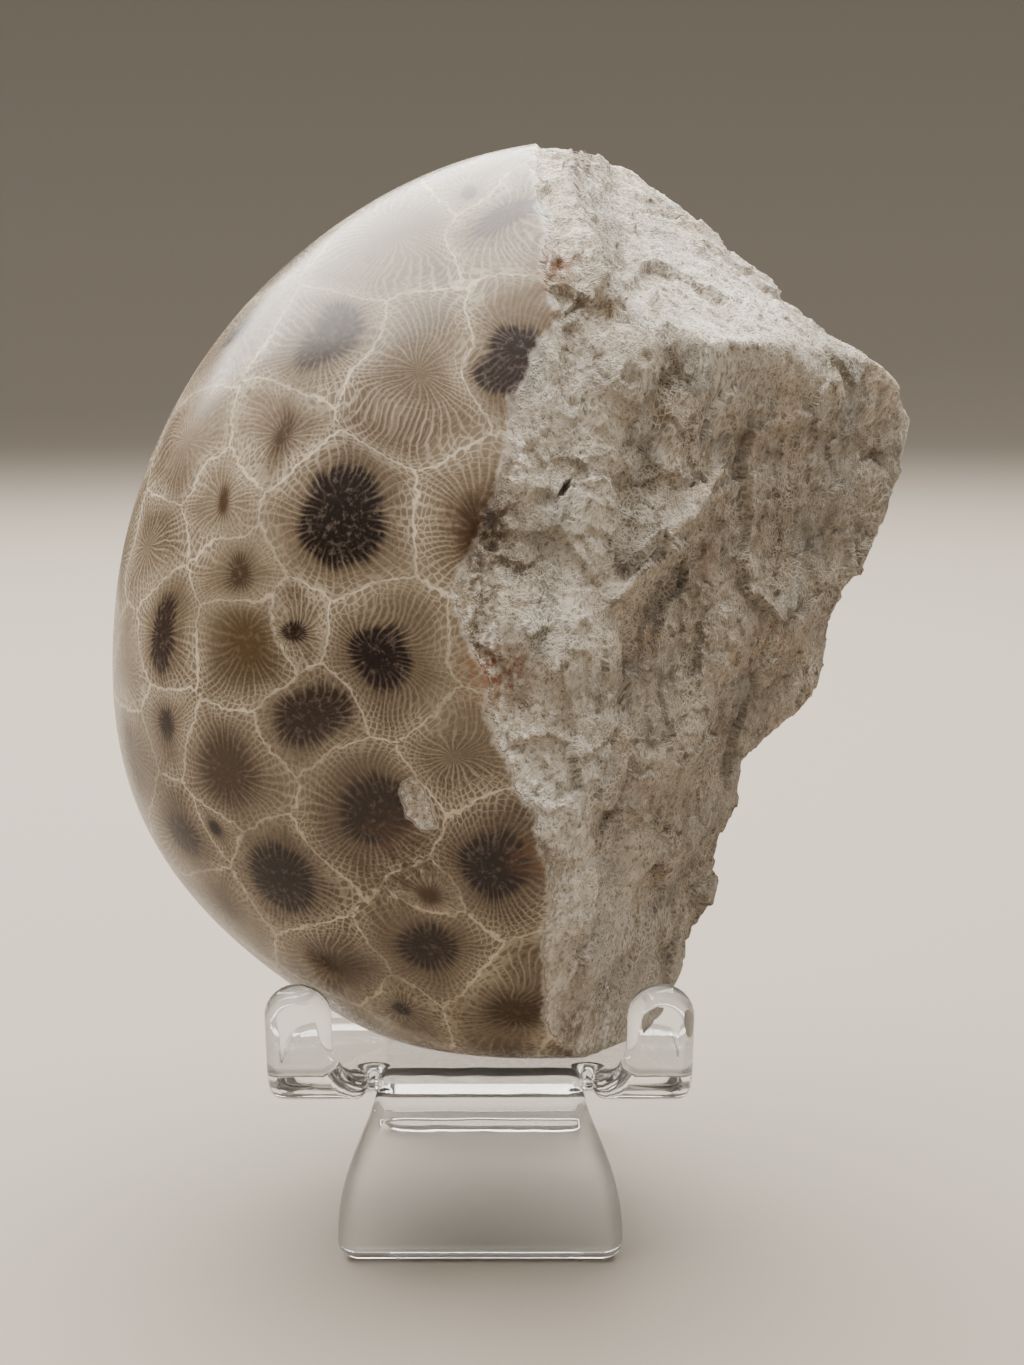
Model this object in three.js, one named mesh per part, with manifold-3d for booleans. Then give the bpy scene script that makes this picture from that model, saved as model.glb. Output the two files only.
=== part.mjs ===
// A fossil coral head on a small clear acrylic display stand. Millimetres, +Z up.
// The stone is one solid: a wave-rounded cobble whose right front is broken away along
// several cleavage faces. The stand is one sheet of acrylic, bent four times.
// The origin is on the table, under the middle of the whole object's box.

import * as THREE from 'three';
import { mergeVertices } from 'three/addons/utils/BufferGeometryUtils.js';
import Module from 'manifold-3d';

const wasm = await Module();
wasm.setup();

// ---------------------------------------------------------------- driving dimensions

const STONE = {
  centre: new THREE.Vector3(1.9, 16.4, 60.8), // from the middle of the seat's front edge
  lean: 9.3,                 // degrees that the stone leans back
  frontDepth: 31,            // from the centre to the foremost point of the round face
  backDepth: 29,             // from the centre to the back of the unbroken cobble
  fullness: 2.2,             // 2 is an ellipsoid, more is boxier
  // The unbroken cobble's outline from the front: its radius every 30 degrees from +X.
  outlineRadii: [47, 56, 52, 46.4, 41.2, 38.6, 38.8, 41.6, 43, 46, 47.5, 46],
  edgeRounding: 1.4,         // how far a worn edge between two broken faces is rounded
  flatRounding: 2.5,           // how far a flat's edge runs out into the round surface
  relief: 0.9,               // height of the broken faces' coarse relief
  detail: 16,                // icosahedron divisions
};

const SHEET = {
  thickness: 3,
  width: 41,                 // across both lips
  seatDepth: 22,
  seatFrontHeight: 18.1,     // top of the seat at its front edge
  seatSlope: 5,              // degrees down towards the back
};

const LIP = { tipWidth: 6.4, bendWidth: 9.6, topHeight: 28, bendRadius: 3.5, lean: 12 };

const FRONT_LEG = { topWidth: 20, footWidth: 27.8, cornerRadius: 2, bendRadius: 2.5, lean: 3 };

const REST = {
  width: 20,
  footWidth: 23,
  length: 34,                // straight length of the back rest
  lean: 16,                  // degrees back from upright
  bendRadius: 3.5,
  foldRadius: 2.6,           // centre line of the fold at the top
  legLean: 9,                // degrees that the rear leg runs forward on its way down
};

const ARC_STEP = 12;         // degrees between points on a bend
const REACH = 60;            // longer than any cut has to go

// ---------------------------------------------------------------- solids and meshes

const radians = THREE.MathUtils.degToRad;

/** A closed three.js geometry as a manifold solid. */
function toSolid(geometry) {
  const bare = geometry.index ? geometry.clone() : geometry;
  bare.deleteAttribute('normal');
  bare.deleteAttribute('uv');
  const merged = mergeVertices(bare, 1e-4);
  const mesh = new wasm.Mesh({
    numProp: 3,
    vertProperties: new Float32Array(merged.attributes.position.array),
    triVerts: new Uint32Array(merged.index.array),
  });
  return new wasm.Manifold(mesh);
}

/** A manifold solid as a three.js geometry with flat shading. */
function toGeometry(solid) {
  const { vertProperties, triVerts } = solid.getMesh();
  const geometry = new THREE.BufferGeometry();
  geometry.setAttribute('position', new THREE.BufferAttribute(vertProperties, 3));
  geometry.setIndex(new THREE.BufferAttribute(triVerts, 1));
  geometry.computeVertexNormals();
  return geometry;
}

/** Extrudes a shape drawn in (Y, Z) along X, from one side of the stand to the other. */
function extrudeAcross(shape, width) {
  const geometry = new THREE.ExtrudeGeometry(shape, { depth: width, bevelEnabled: false });
  const turn = new THREE.Matrix4().makeBasis(
    new THREE.Vector3(0, 1, 0), new THREE.Vector3(0, 0, 1), new THREE.Vector3(1, 0, 0));
  geometry.applyMatrix4(turn).translate(-width / 2, 0, 0);
  return toSolid(geometry);
}

/** Extrudes a shape drawn in (X, Z) along Y, between two depths. */
function extrudeBack(shape, front, back) {
  const options = { depth: back - front, bevelEnabled: false, curveSegments: 8 };
  const geometry = new THREE.ExtrudeGeometry(shape, options);
  geometry.rotateX(Math.PI / 2).translate(0, back, 0);
  return toSolid(geometry);
}

/** Extrudes a shape drawn in (X, Y) upwards, between two heights. */
function extrudeUp(shape, bottom, top) {
  const options = { depth: top - bottom, bevelEnabled: false, curveSegments: 8 };
  return toSolid(new THREE.ExtrudeGeometry(shape, options).translate(0, 0, bottom));
}

// ---------------------------------------------------------------- display stand

/**
 * The section of a bent sheet in the (Y, Z) plane. The centre line starts at `start`, heads
 * along `heading` degrees, and makes each move in turn: { straight: mm } or
 * { turn: degrees, radius: mm }, where a turn to the left is positive.
 */
function bentSection(start, heading, moves) {
  const half = SHEET.thickness / 2;
  const left = [];
  const right = [];
  const point = start.clone();
  let angle = radians(heading);

  const mark = () => {
    const side = new THREE.Vector2(-Math.sin(angle), Math.cos(angle)).multiplyScalar(half);
    left.push(point.clone().add(side));
    right.push(point.clone().sub(side));
  };

  mark();
  for (const move of moves) {
    if (move.straight) {
      point.add(new THREE.Vector2(Math.cos(angle), Math.sin(angle)).multiplyScalar(move.straight));
      mark();
      continue;
    }
    const steps = Math.ceil(Math.abs(move.turn) / ARC_STEP);
    const step = radians(move.turn) / steps;
    const chord = 2 * move.radius * Math.sin(Math.abs(step) / 2);
    for (let i = 0; i < steps; i++) {
      angle += step / 2;
      point.add(new THREE.Vector2(Math.cos(angle), Math.sin(angle)).multiplyScalar(chord));
      angle += step / 2;
      mark();
    }
  }
  return new THREE.Shape([...left, ...right.reverse()]);
}

/** The point on the seat's centre line, `y` behind its front edge. */
function onSeat(y) {
  const drop = y * Math.tan(radians(SHEET.seatSlope));
  return new THREE.Vector2(y, SHEET.seatFrontHeight - SHEET.thickness / 2 - drop);
}

/** Seen from above: the seat, with a round-ended slot on each side of the front leg. */
function seatOutline() {
  const side = SHEET.width / 2;
  const inner = side - LIP.bendWidth;
  const leg = FRONT_LEG.topWidth / 2;
  const slot = (inner - leg) / 2;
  const corner = 3;
  const shape = new THREE.Shape();
  shape.moveTo(inner, -1).lineTo(side, -1).lineTo(side, SHEET.seatDepth - corner);
  shape.absarc(side - corner, SHEET.seatDepth - corner, corner, 0, Math.PI / 2, false);
  shape.absarc(corner - side, SHEET.seatDepth - corner, corner, Math.PI / 2, Math.PI, false);
  shape.lineTo(-side, -1).lineTo(-inner, -1);
  shape.absarc(-inner + slot, 0, slot, Math.PI, 0, true);
  shape.lineTo(-leg, -1).lineTo(leg, -1);
  shape.absarc(inner - slot, 0, slot, Math.PI, 0, true);
  return shape;
}

/** Seen from the front: the right-hand lip, which narrows above its bend to a round tip. */
function lipOutline() {
  const outer = SHEET.width / 2;
  const radius = LIP.tipWidth / 2;
  const atBend = outer - LIP.bendWidth;
  const atTip = outer - LIP.tipWidth;
  const curveBottom = SHEET.seatFrontHeight - 1;
  const curveTop = curveBottom + 4;
  const shape = new THREE.Shape();
  shape.moveTo(atBend, 5).lineTo(outer, 5);
  shape.absarc(outer - radius, LIP.topHeight - radius, radius, 0, Math.PI, false);
  shape.lineTo(atTip, curveTop);
  shape.bezierCurveTo(atTip, curveTop - 2, atBend, curveBottom + 2, atBend, curveBottom);
  return shape;
}

/** Seen from the front: a leg that flares from `topWidth` to a foot with round corners. */
function legOutline(topWidth, footWidth, flareTop, top) {
  const narrow = topWidth / 2;
  const wide = footWidth / 2;
  const corner = FRONT_LEG.cornerRadius;
  const bulge = 0.55 * (flareTop - corner);
  const shoulder = narrow + (wide - narrow) / 6;
  const shape = new THREE.Shape();
  shape.moveTo(-wide + corner, 0).lineTo(wide - corner, 0);
  shape.absarc(wide - corner, corner, corner, -Math.PI / 2, 0, false);
  shape.bezierCurveTo(wide, bulge, shoulder, flareTop - 3, narrow, flareTop);
  shape.lineTo(narrow, top).lineTo(-narrow, top).lineTo(-narrow, flareTop);
  shape.bezierCurveTo(-shoulder, flareTop - 3, -wide, bulge, -wide, corner);
  shape.absarc(-wide + corner, corner, corner, Math.PI, Math.PI * 1.5, false);
  return shape;
}

/** The seat with its two lips: one J-shaped strip, trimmed to its outlines. */
function seatAndLips() {
  const rise = 90 - LIP.lean - SHEET.seatSlope;
  const back = onSeat(SHEET.seatDepth + 2);
  const strip = bentSection(back, 180 - SHEET.seatSlope, [
    { straight: (SHEET.seatDepth + 2) / Math.cos(radians(SHEET.seatSlope)) },
    { turn: -rise, radius: LIP.bendRadius },
    { straight: 12 },
  ]);
  const rightLip = extrudeBack(lipOutline(), -12, 0.5);
  const leftLip = rightLip.mirror([1, 0, 0]);
  const outline = extrudeUp(seatOutline(), 0, REACH).add(rightLip).add(leftLip);
  return extrudeAcross(strip, SHEET.width).intersect(outline);
}

/** The centre tongue, bent down to the table in front of the seat. */
function frontLeg() {
  const inside = 8;
  const turn = 90 + SHEET.seatSlope - FRONT_LEG.lean;
  const strip = bentSection(onSeat(inside), 180 - SHEET.seatSlope, [
    { straight: inside / Math.cos(radians(SHEET.seatSlope)) },
    { turn, radius: FRONT_LEG.bendRadius },
    { straight: 20 },
  ]);
  const { topWidth, footWidth } = FRONT_LEG;
  const outline = legOutline(topWidth, footWidth, 16.5, 22);
  return extrudeAcross(strip, SHEET.width).intersect(extrudeBack(outline, -12, inside + 1));
}

/** The tongue behind: up as the back rest, folded over, and down as the rear leg. */
function restAndRearLeg() {
  const inside = SHEET.seatDepth - 8;
  const strip = bentSection(onSeat(inside), -SHEET.seatSlope, [
    { straight: 6 },
    { turn: 90 - REST.lean + SHEET.seatSlope, radius: REST.bendRadius },
    { straight: REST.length },
    { turn: -(180 - REST.lean + REST.legLean), radius: REST.foldRadius },
    { straight: REACH + 10 },
  ]);
  const outline = legOutline(REST.width, REST.footWidth, 14, REACH);
  return extrudeAcross(strip, SHEET.width).intersect(extrudeBack(outline, inside - 1, REACH));
}

/** The whole stand as one solid. */
function displayStand() {
  return seatAndLips().add(frontLeg()).add(restAndRearLeg());
}

// ---------------------------------------------------------------- coral head

/** A broken face: a plane `offset` mm from the stone's centre, facing along `normal`. */
function facet(normal, offset) {
  const unit = new THREE.Vector3(...normal).normalize();
  return (direction) => {
    const slant = unit.dot(direction);
    return slant > 1e-3 ? offset / slant : Infinity;
  };
}

const FACETS = {
  knob: facet([0.80, -0.34, 0.50], 31.2),          // the worn top, beside the round face
  shoulder: facet([0.49, -0.51, 0.70], 36.5),      // broad upper face that slopes to the tip
  crown: facet([0.622, 0.0, 0.782], 45.3),         // rounds the shoulder off down to the tip
  crystalFace: facet([0.50, -0.866, 0.0], 26.4),   // nearest the round face
  sideFace: facet([0.774, -0.617, -0.14], 23.6),   // turns away behind the long crest
  lowerFace: facet([0.80, -0.52, -0.30], 25.0),
  underTip: facet([0.919, 0.0, -0.394], 33.2),     // undercut below the right-hand tip
  ledge: facet([0.67, 0.0, -0.74], 28.0),          // overhang where the undercut steps in
  lowerSide: facet([0.968, 0.0, -0.25], 28.0),
  heel: facet([0.754, 0.0, -0.657], 39.0),         // chipped corner beside the right lip
};

// Flats worn on the cobble, by which it sits: the back meets the rest, the base the seat.
const FLATS = {
  back: facet([0.06, 1.0, -0.11], 16.1),
  base: facet([0.0, 0.075, -0.997], 43.5),
};

/** The smaller of two lengths, blended where they are within `width` of each other. */
function smoothMin(a, b, width) {
  if (!Number.isFinite(a) || !Number.isFinite(b)) return Math.min(a, b);
  const blend = Math.max(width - Math.abs(a - b), 0) / width;
  return Math.min(a, b) - blend * blend * width / 4;
}

/** Periodic Catmull-Rom value of evenly spaced `radii` at `turn` radians. */
function outlineRadius(radii, turn) {
  const count = radii.length;
  const place = ((turn / (2 * Math.PI)) * count + count) % count;
  const index = Math.floor(place);
  const t = place - index;
  const [a, b, c, d] = [-1, 0, 1, 2].map((step) => radii[(index + step + count) % count]);
  return b + 0.5 * t * (c - a + t * (2 * a - 5 * b + 4 * c - d + t * (3 * (b - c) + d - a)));
}

/** Distance from the centre to the worn cobble's surface along a direction. */
function cobbleRadius(direction) {
  const outline = outlineRadius(STONE.outlineRadii, Math.atan2(direction.z, direction.x));
  const depth = direction.y < 0 ? STONE.frontDepth : STONE.backDepth;
  const across = Math.hypot(direction.x, direction.z) / outline;
  const along = Math.abs(direction.y) / depth;
  const round = (across ** STONE.fullness + along ** STONE.fullness) ** (-1 / STONE.fullness);
  const back = smoothMin(round, FLATS.back(direction), STONE.flatRounding);
  return smoothMin(back, FLATS.base(direction), STONE.flatRounding);
}

/** Distance from the centre to the broken faces along a direction. */
function brokenRadius(direction) {
  const at = Object.fromEntries(Object.entries(FACETS).map(([name, f]) => [name, f(direction)]));
  const faces = [
    Math.max(at.knob, at.shoulder),
    at.crown, at.crystalFace, at.sideFace, at.lowerFace, at.underTip,
    Math.max(at.lowerSide, at.ledge),
    at.heel,
  ];
  return faces.reduce((least, face) => smoothMin(least, face, STONE.edgeRounding));
}

/** Coarse hummocks on the broken faces at a point, from three crossed waves. */
function relief({ x, y, z }) {
  const waves = Math.sin(0.31 * x + 0.22 * z) + Math.sin(0.27 * y - 0.36 * z + 2)
    + Math.sin(0.52 * z + 0.24 * x - 0.31 * y);
  return STONE.relief * waves / 3;
}

/** Distance from the centre to the stone's surface along a direction. */
function stoneRadius(direction) {
  const whole = cobbleRadius(direction);
  const plain = brokenRadius(direction);
  if (!Number.isFinite(plain)) return whole;
  return Math.min(whole, plain + relief(direction.clone().multiplyScalar(plain)));
}

/** The stone's geometry around its own centre. */
function coralHead() {
  const geometry = new THREE.IcosahedronGeometry(1, STONE.detail);
  geometry.deleteAttribute('normal');
  geometry.deleteAttribute('uv');
  const merged = mergeVertices(geometry, 1e-5);
  const positions = merged.attributes.position;
  for (let i = 0; i < positions.count; i++) {
    const direction = new THREE.Vector3().fromBufferAttribute(positions, i).normalize();
    direction.multiplyScalar(stoneRadius(direction));
    positions.setXYZ(i, direction.x, direction.y, direction.z);
  }
  merged.computeVertexNormals();
  return merged;
}

// ---------------------------------------------------------------- scene

const stone = new THREE.Mesh(coralHead(), new THREE.MeshStandardMaterial({
  color: 0x8f8375, roughness: 0.35, metalness: 0,
}));
stone.name = 'coral_head';
stone.position.copy(STONE.centre);
stone.rotation.x = -radians(STONE.lean);

const stand = new THREE.Mesh(toGeometry(displayStand()), new THREE.MeshStandardMaterial({
  color: 0xeef4f6, roughness: 0.03, metalness: 0, transparent: true, opacity: 0.35,
}));
stand.name = 'display_stand';

const group = new THREE.Group();
group.add(stone, stand);

// Put the origin under the middle of the whole object, on the table.
const box = new THREE.Box3().setFromObject(group, true);
const middle = box.getCenter(new THREE.Vector3());
group.position.set(-middle.x, -middle.y, -box.min.z);

export default group;
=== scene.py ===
"""A fossil coral head, half polished and half broken, on a small clear acrylic easel.

The stone is a round cobble cut away by broken faces. Its surface is divided into corallites,
the star-shaped cups of the colony, whose tubes fan out from one point deep inside. Each
corallite has its own flat coordinates, stored on the mesh, from which the stone's material
draws the radiating septa, the walls and the dark middles. The stand is one flat sheet pattern
with rounded edges, bent four times.
"""
import logging
import math
from dataclasses import dataclass, field
from enum import Enum

import bmesh
import bpy
import numpy as np
from mathutils import Matrix, Vector

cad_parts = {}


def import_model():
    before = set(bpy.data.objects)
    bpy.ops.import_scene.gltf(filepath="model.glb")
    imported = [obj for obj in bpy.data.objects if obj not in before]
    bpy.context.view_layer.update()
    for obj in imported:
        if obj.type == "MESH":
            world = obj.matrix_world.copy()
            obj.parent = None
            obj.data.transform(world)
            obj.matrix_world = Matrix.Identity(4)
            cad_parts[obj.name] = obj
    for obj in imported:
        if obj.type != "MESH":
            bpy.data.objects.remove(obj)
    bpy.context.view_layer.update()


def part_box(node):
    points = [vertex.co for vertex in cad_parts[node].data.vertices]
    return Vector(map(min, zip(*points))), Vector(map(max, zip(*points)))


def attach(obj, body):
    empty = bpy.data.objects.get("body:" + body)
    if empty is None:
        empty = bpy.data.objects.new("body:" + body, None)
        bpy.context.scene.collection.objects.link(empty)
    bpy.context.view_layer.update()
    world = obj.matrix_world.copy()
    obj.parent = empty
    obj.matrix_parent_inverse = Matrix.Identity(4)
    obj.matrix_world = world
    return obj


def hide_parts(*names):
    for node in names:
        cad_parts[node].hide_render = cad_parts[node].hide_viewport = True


LOG = logging.getLogger("coral_head")
MM = 0.001
GRAZING = 1e-3  # slant below which a direction never meets a plane
NOT_BROKEN = -9.0  # depth, in mm, of what is nowhere near the break
STAND_REACH = 6.49  # how far the stand comes out in front of its seat, in mm
STONE_PLACE = (1.9, 16.4, 60.8)  # from the stand's middle, its seat's front edge and the table, in mm


def linear(colour: str) -> tuple[float, float, float, float]:
    """Turn an sRGB hex colour into linear RGBA.

    Args:
        colour: Six hex digits, such as "8c8073".

    Returns:
        The linear colour with an alpha of 1.
    """
    channels = [int(colour[i:i + 2], 16) / 255 for i in (0, 2, 4)]
    curve = [c / 12.92 if c <= 0.04045 else ((c + 0.055) / 1.055) ** 2.4 for c in channels]
    return (*curve, 1.0)


# ------------------------------------------------------------------------------- node trees


class Graph:
    """One node tree, and the one way of adding a node to it."""

    # the setting that the second half of a kind's name chooses
    CHOICES = {"Math": "operation", "VectorMath": "operation", "MapRange": "interpolation_type",
               "Mix": "data_type", "TexVoronoi": "feature"}

    def __init__(self, tree: bpy.types.NodeTree) -> None:
        """Work on `tree`."""
        self.tree = tree

    def feed(self, socket: bpy.types.NodeSocket, value: object) -> None:
        """Link a socket to another node's output, or set it to a constant.

        Args:
            socket: The input.
            value: An output, a constant, or None to leave the input alone.
        """
        if isinstance(value, bpy.types.NodeSocket):
            self.tree.links.new(value, socket)
        elif value is not None:
            socket.default_value = value

    def add(self, kind: str, *values: object, out: int | str | None = 0, **settings: object) -> object:
        """Add a node with its settings, constants and links.

        Args:
            kind: The node's type, with its main choice after a dot, such as "Math.ADD".
            *values: A constant or another node's output for each input in use, in order.
            out: Which of the outputs in use to give back, or None for all of them.
            **settings: The node's other settings.

        Returns:
            The chosen output, or the list of them.
        """
        name, _, choice = kind.partition(".")
        node = self.tree.nodes.new(name if "Node" in name else "ShaderNode" + name)
        if choice:
            setattr(node, self.CHOICES[name], choice)
        for setting, value in settings.items():
            setattr(node, setting, value)
        for socket, value in zip([i for i in node.inputs if i.enabled], values):
            self.feed(socket, value)
        outputs = [o for o in node.outputs if o.enabled]
        if isinstance(out, str):
            return node.outputs[out]
        return outputs if out is None else outputs[out]


def new_finish(name: str) -> tuple[bpy.types.Material, Graph, bpy.types.Node]:
    """Start a material.

    Args:
        name: The material's name.

    Returns:
        The material, its graph, and its Principled shader, already linked to the output.
    """
    material = bpy.data.materials.new(name)
    material.use_nodes = True
    material.node_tree.nodes.clear()
    graph = Graph(material.node_tree)
    surface = graph.add("BsdfPrincipled")
    graph.add("OutputMaterial", surface, out=None)
    return material, graph, surface.node


# ------------------------------------------------------------------------------- the stone


@dataclass(frozen=True)
class Facet:
    """A broken face: a plane at `offset` mm from the stone's centre, facing along `normal`."""

    normal: tuple[float, float, float]
    offset: float

    def reach(self, directions: np.ndarray) -> np.ndarray:
        """Distance from the centre to the plane along each direction, or infinity.

        Args:
            directions: Unit directions, one a row.

        Returns:
            The distances, in mm.
        """
        unit = np.array(self.normal) / np.linalg.norm(self.normal)
        slant = directions @ unit
        return np.where(slant > GRAZING, self.offset / np.maximum(slant, GRAZING), np.inf)


def smooth_min(first: np.ndarray, second: np.ndarray, width: float) -> np.ndarray:
    """The smaller of two lengths, blended where they are within `width` of each other.

    Args:
        first: Lengths, some of which may be infinite.
        second: As many lengths.
        width: How close two lengths blend.

    Returns:
        The blended lengths.
    """
    least = np.minimum(first, second)
    both = np.isfinite(first) & np.isfinite(second)
    apart = np.where(both, np.abs(np.where(both, first, 0) - np.where(both, second, 0)), width)
    blend = np.maximum(width - apart, 0) / width
    return least - blend * blend * width / 4


@dataclass(frozen=True)
class Crease:
    """A ridge or a groove of the broken front, along a line of points.

    Attributes:
        line: The points, across and up from the stone's centre, in mm.
        height: How far it rises, or sinks where negative, in mm.
        width: Distance from the line at which it fades, in mm.
    """

    line: tuple[tuple[float, float], ...]
    height: float
    width: float

    def lift(self, across: np.ndarray, up: np.ndarray) -> np.ndarray:
        """How far the crease lifts points, given as seen from the front.

        Args:
            across: Distances to the right of the stone's centre, in mm.
            up: Distances above it, in mm.

        Returns:
            The lift of each point, in mm, negative in a groove.
        """
        nearest = np.full(len(across), np.inf)
        for (x, z), (next_x, next_z) in zip(self.line, self.line[1:]):
            run, rise = next_x - x, next_z - z
            share = ((across - x) * run + (up - z) * rise) / (run * run + rise * rise)
            share = np.clip(share, 0, 1)
            nearest = np.minimum(nearest, np.hypot(across - x - share * run, up - z - share * rise))
        return self.height * np.exp(-(nearest / self.width) ** 2)


CREASES = (
    # the crest under the bright shoulder
    Crease(((13.0, 31.0), (16.5, 25.5), (22.0, 24.5), (27.5, 24.0), (34.0, 22.5), (38.0, 20.0)), 0.8, 1.8),
    # the rounded mass beside the polish, and the gully on its right
    Crease(((11.5, 23.0), (10.0, 15.0), (8.0, 8.0), (7.0, 0.0), (6.0, -9.0), (6.5, -18.0), (7.5, -28.0)),
           1.3, 2.4),
    Crease(((16.0, 22.0), (13.8, 15.0), (12.3, 9.0), (11.8, 3.0)), -1.1, 1.3),
    # a thin fin that leans across the face, with a hollow under it
    Crease(((21.5, 13.5), (15.5, 6.5), (10.5, 0.5)), 1.1, 0.8),
    Crease(((23.0, 10.5), (17.5, 4.0), (12.5, -2.0), (11.0, -9.0)), -0.9, 1.7),
    # the dip between the knob and the shoulder
    Crease(((8.5, 42.0), (11.0, 36.0), (13.0, 31.0)), -0.7, 1.6),
    # scooped flakes along the polish
    Crease(((-2.0, 2.5), (-1.0, -3.0), (2.0, -8.0)), -0.7, 1.6),
    Crease(((1.0, 8.0), (-0.5, 5.5)), -0.8, 1.4),
    Crease(((7.0, 27.0), (6.0, 20.0)), -0.6, 1.5),
    # low ribs down the right face
    Crease(((24.0, 4.0), (21.0, -6.0), (17.0, -16.0)), 0.8, 2.0),
    Crease(((29.0, 12.0), (27.0, 2.0)), -0.6, 2.2),
    Crease(((14.5, -14.0), (12.5, -24.0), (12.0, -32.0)), 0.7, 1.8),
)


@dataclass(frozen=True)
class StoneShape:
    """The stone's outer form in mm around its own centre: X right, Y back, Z up."""

    front_depth: float = 31
    back_depth: float = 29
    fullness: float = 2.2
    outline_radii: tuple[float, ...] = (47, 56, 52, 46.4, 41.2, 38.6, 38.8, 41.6, 43, 46, 47.5, 46)
    edge_rounding: float = 1.4
    flat_rounding: float = 2.5
    relief: float = 0.9
    chip_step: float = 0.55  # how far the break lies below the polish
    chip_run: float = 0.7  # distance over which it drops there
    knob: Facet = Facet((0.80, -0.34, 0.50), 31.2)
    shoulder: Facet = Facet((0.49, -0.51, 0.70), 36.5)
    crown: Facet = Facet((0.622, 0.0, 0.782), 45.3)
    crystal_face: Facet = Facet((0.50, -0.866, 0.0), 26.4)
    side_face: Facet = Facet((0.774, -0.617, -0.14), 23.6)
    lower_face: Facet = Facet((0.80, -0.52, -0.30), 25.0)
    under_tip: Facet = Facet((0.919, 0.0, -0.394), 33.2)
    ledge: Facet = Facet((0.67, 0.0, -0.74), 28.0)
    lower_side: Facet = Facet((0.968, 0.0, -0.25), 28.0)
    heel: Facet = Facet((0.754, 0.0, -0.657), 39.0)
    back: Facet = Facet((0.06, 1.0, -0.11), 16.1)
    base: Facet = Facet((0.0, 0.075, -0.997), 43.5)
    # where the polish stops on the front: height, and distance to the right
    polish_edge: tuple[tuple[float, float], ...] = (
        (-42.5, 9.5), (-38.5, 8.5), (-36.5, 7), (-31.5, 6.5), (-28.5, 5.5), (-24.5, 5), (-22, 3.5),
        (-18.5, 3), (-16.5, 1.5), (-14, 1), (-11, 2), (-8.5, 1), (-7.5, -0.5), (-4, -2.5),
        (-1.5, -3.5), (1, -4), (3.5, -3), (6.5, -1.5), (9, -0.5), (11.5, 0), (15, 2), (19, 3.5),
        (22.5, 4), (25.5, 6), (30.5, 3.5), (34.5, 4.5), (37.5, 3.5), (42, 3.5),
    )
    polish_limit: float = 2.0

    def outline_radius(self, turn: np.ndarray) -> np.ndarray:
        """The unbroken outline's radius at each angle, a periodic Catmull-Rom curve.

        Args:
            turn: Angles from the right, in radians.

        Returns:
            The radii, in mm.
        """
        radii = np.array(self.outline_radii)
        count = len(radii)
        place = (turn / (2 * math.pi) * count) % count
        index = np.floor(place).astype(int)
        t = place - index
        a, b, c, d = (radii[(index + step) % count] for step in (-1, 0, 1, 2))
        return b + 0.5 * t * (c - a + t * (2 * a - 5 * b + 4 * c - d + t * (3 * (b - c) + d - a)))

    def worn_reach(self, directions: np.ndarray) -> np.ndarray:
        """Distance to the worn cobble's surface along each direction.

        Args:
            directions: Unit directions, one a row.

        Returns:
            The distances, in mm.
        """
        outline = self.outline_radius(np.arctan2(directions[:, 2], directions[:, 0]))
        depth = np.where(directions[:, 1] < 0, self.front_depth, self.back_depth)
        across = np.hypot(directions[:, 0], directions[:, 2]) / outline
        along = np.abs(directions[:, 1]) / depth
        round_part = (across ** self.fullness + along ** self.fullness) ** (-1 / self.fullness)
        backed = smooth_min(round_part, self.back.reach(directions), self.flat_rounding)
        return smooth_min(backed, self.base.reach(directions), self.flat_rounding)

    def broken_reach(self, directions: np.ndarray) -> np.ndarray:
        """Distance to the broken faces along each direction, or infinity.

        Args:
            directions: Unit directions, one a row.

        Returns:
            The distances, in mm.
        """
        faces = [
            np.maximum(self.knob.reach(directions), self.shoulder.reach(directions)),
            self.crown.reach(directions),
            self.crystal_face.reach(directions),
            self.side_face.reach(directions),
            self.lower_face.reach(directions),
            self.under_tip.reach(directions),
            np.maximum(self.lower_side.reach(directions), self.ledge.reach(directions)),
            self.heel.reach(directions),
        ]
        plain = faces[0]
        for face in faces[1:]:
            plain = smooth_min(plain, face, self.edge_rounding)
        points = directions * np.where(np.isfinite(plain), plain, 0)[:, None]
        x, y, z = points.T
        waves = np.sin(0.31 * x + 0.22 * z) + np.sin(0.27 * y - 0.36 * z + 2)
        waves += np.sin(0.52 * z + 0.24 * x - 0.31 * y)
        return plain + self.relief * waves / 3 + self.creased(points)

    def creased(self, points: np.ndarray) -> np.ndarray:
        """How far the creases of the front lift or sink points, in mm."""
        lifts = sum(crease.lift(points[:, 0], points[:, 2]) for crease in CREASES)
        return np.where(points[:, 1] < 0, lifts, 0)

    def past_polish(self, points: np.ndarray) -> np.ndarray:
        """How far points of the front lie to the right of where the polish stops, in mm.

        Args:
            points: Points around the stone's centre, in mm.

        Returns:
            The distances, negative on the polish and behind.
        """
        heights, acrosses = np.array(self.polish_edge).T
        past = points[:, 0] - np.interp(points[:, 2], heights, acrosses)
        return np.where(points[:, 1] < self.polish_limit, past, NOT_BROKEN)

    def surface(self, directions: np.ndarray) -> tuple[np.ndarray, np.ndarray]:
        """The stone's surface along each direction.

        Args:
            directions: Unit directions from the stone's centre, one a row.

        Returns:
            The points, and how far inside the broken area each one lies, in mm.
        """
        worn = self.worn_reach(directions)
        broken = self.broken_reach(directions)
        depth = np.where(np.isfinite(broken), worn - broken, NOT_BROKEN)
        past = self.past_polish(directions * worn[:, None])
        step = np.clip(past / self.chip_run, 0, 1)
        chipped = worn - self.chip_step * step * step * (3 - 2 * step)
        reach = np.minimum(chipped, broken)
        return directions * reach[:, None], np.maximum(depth, past)


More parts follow.
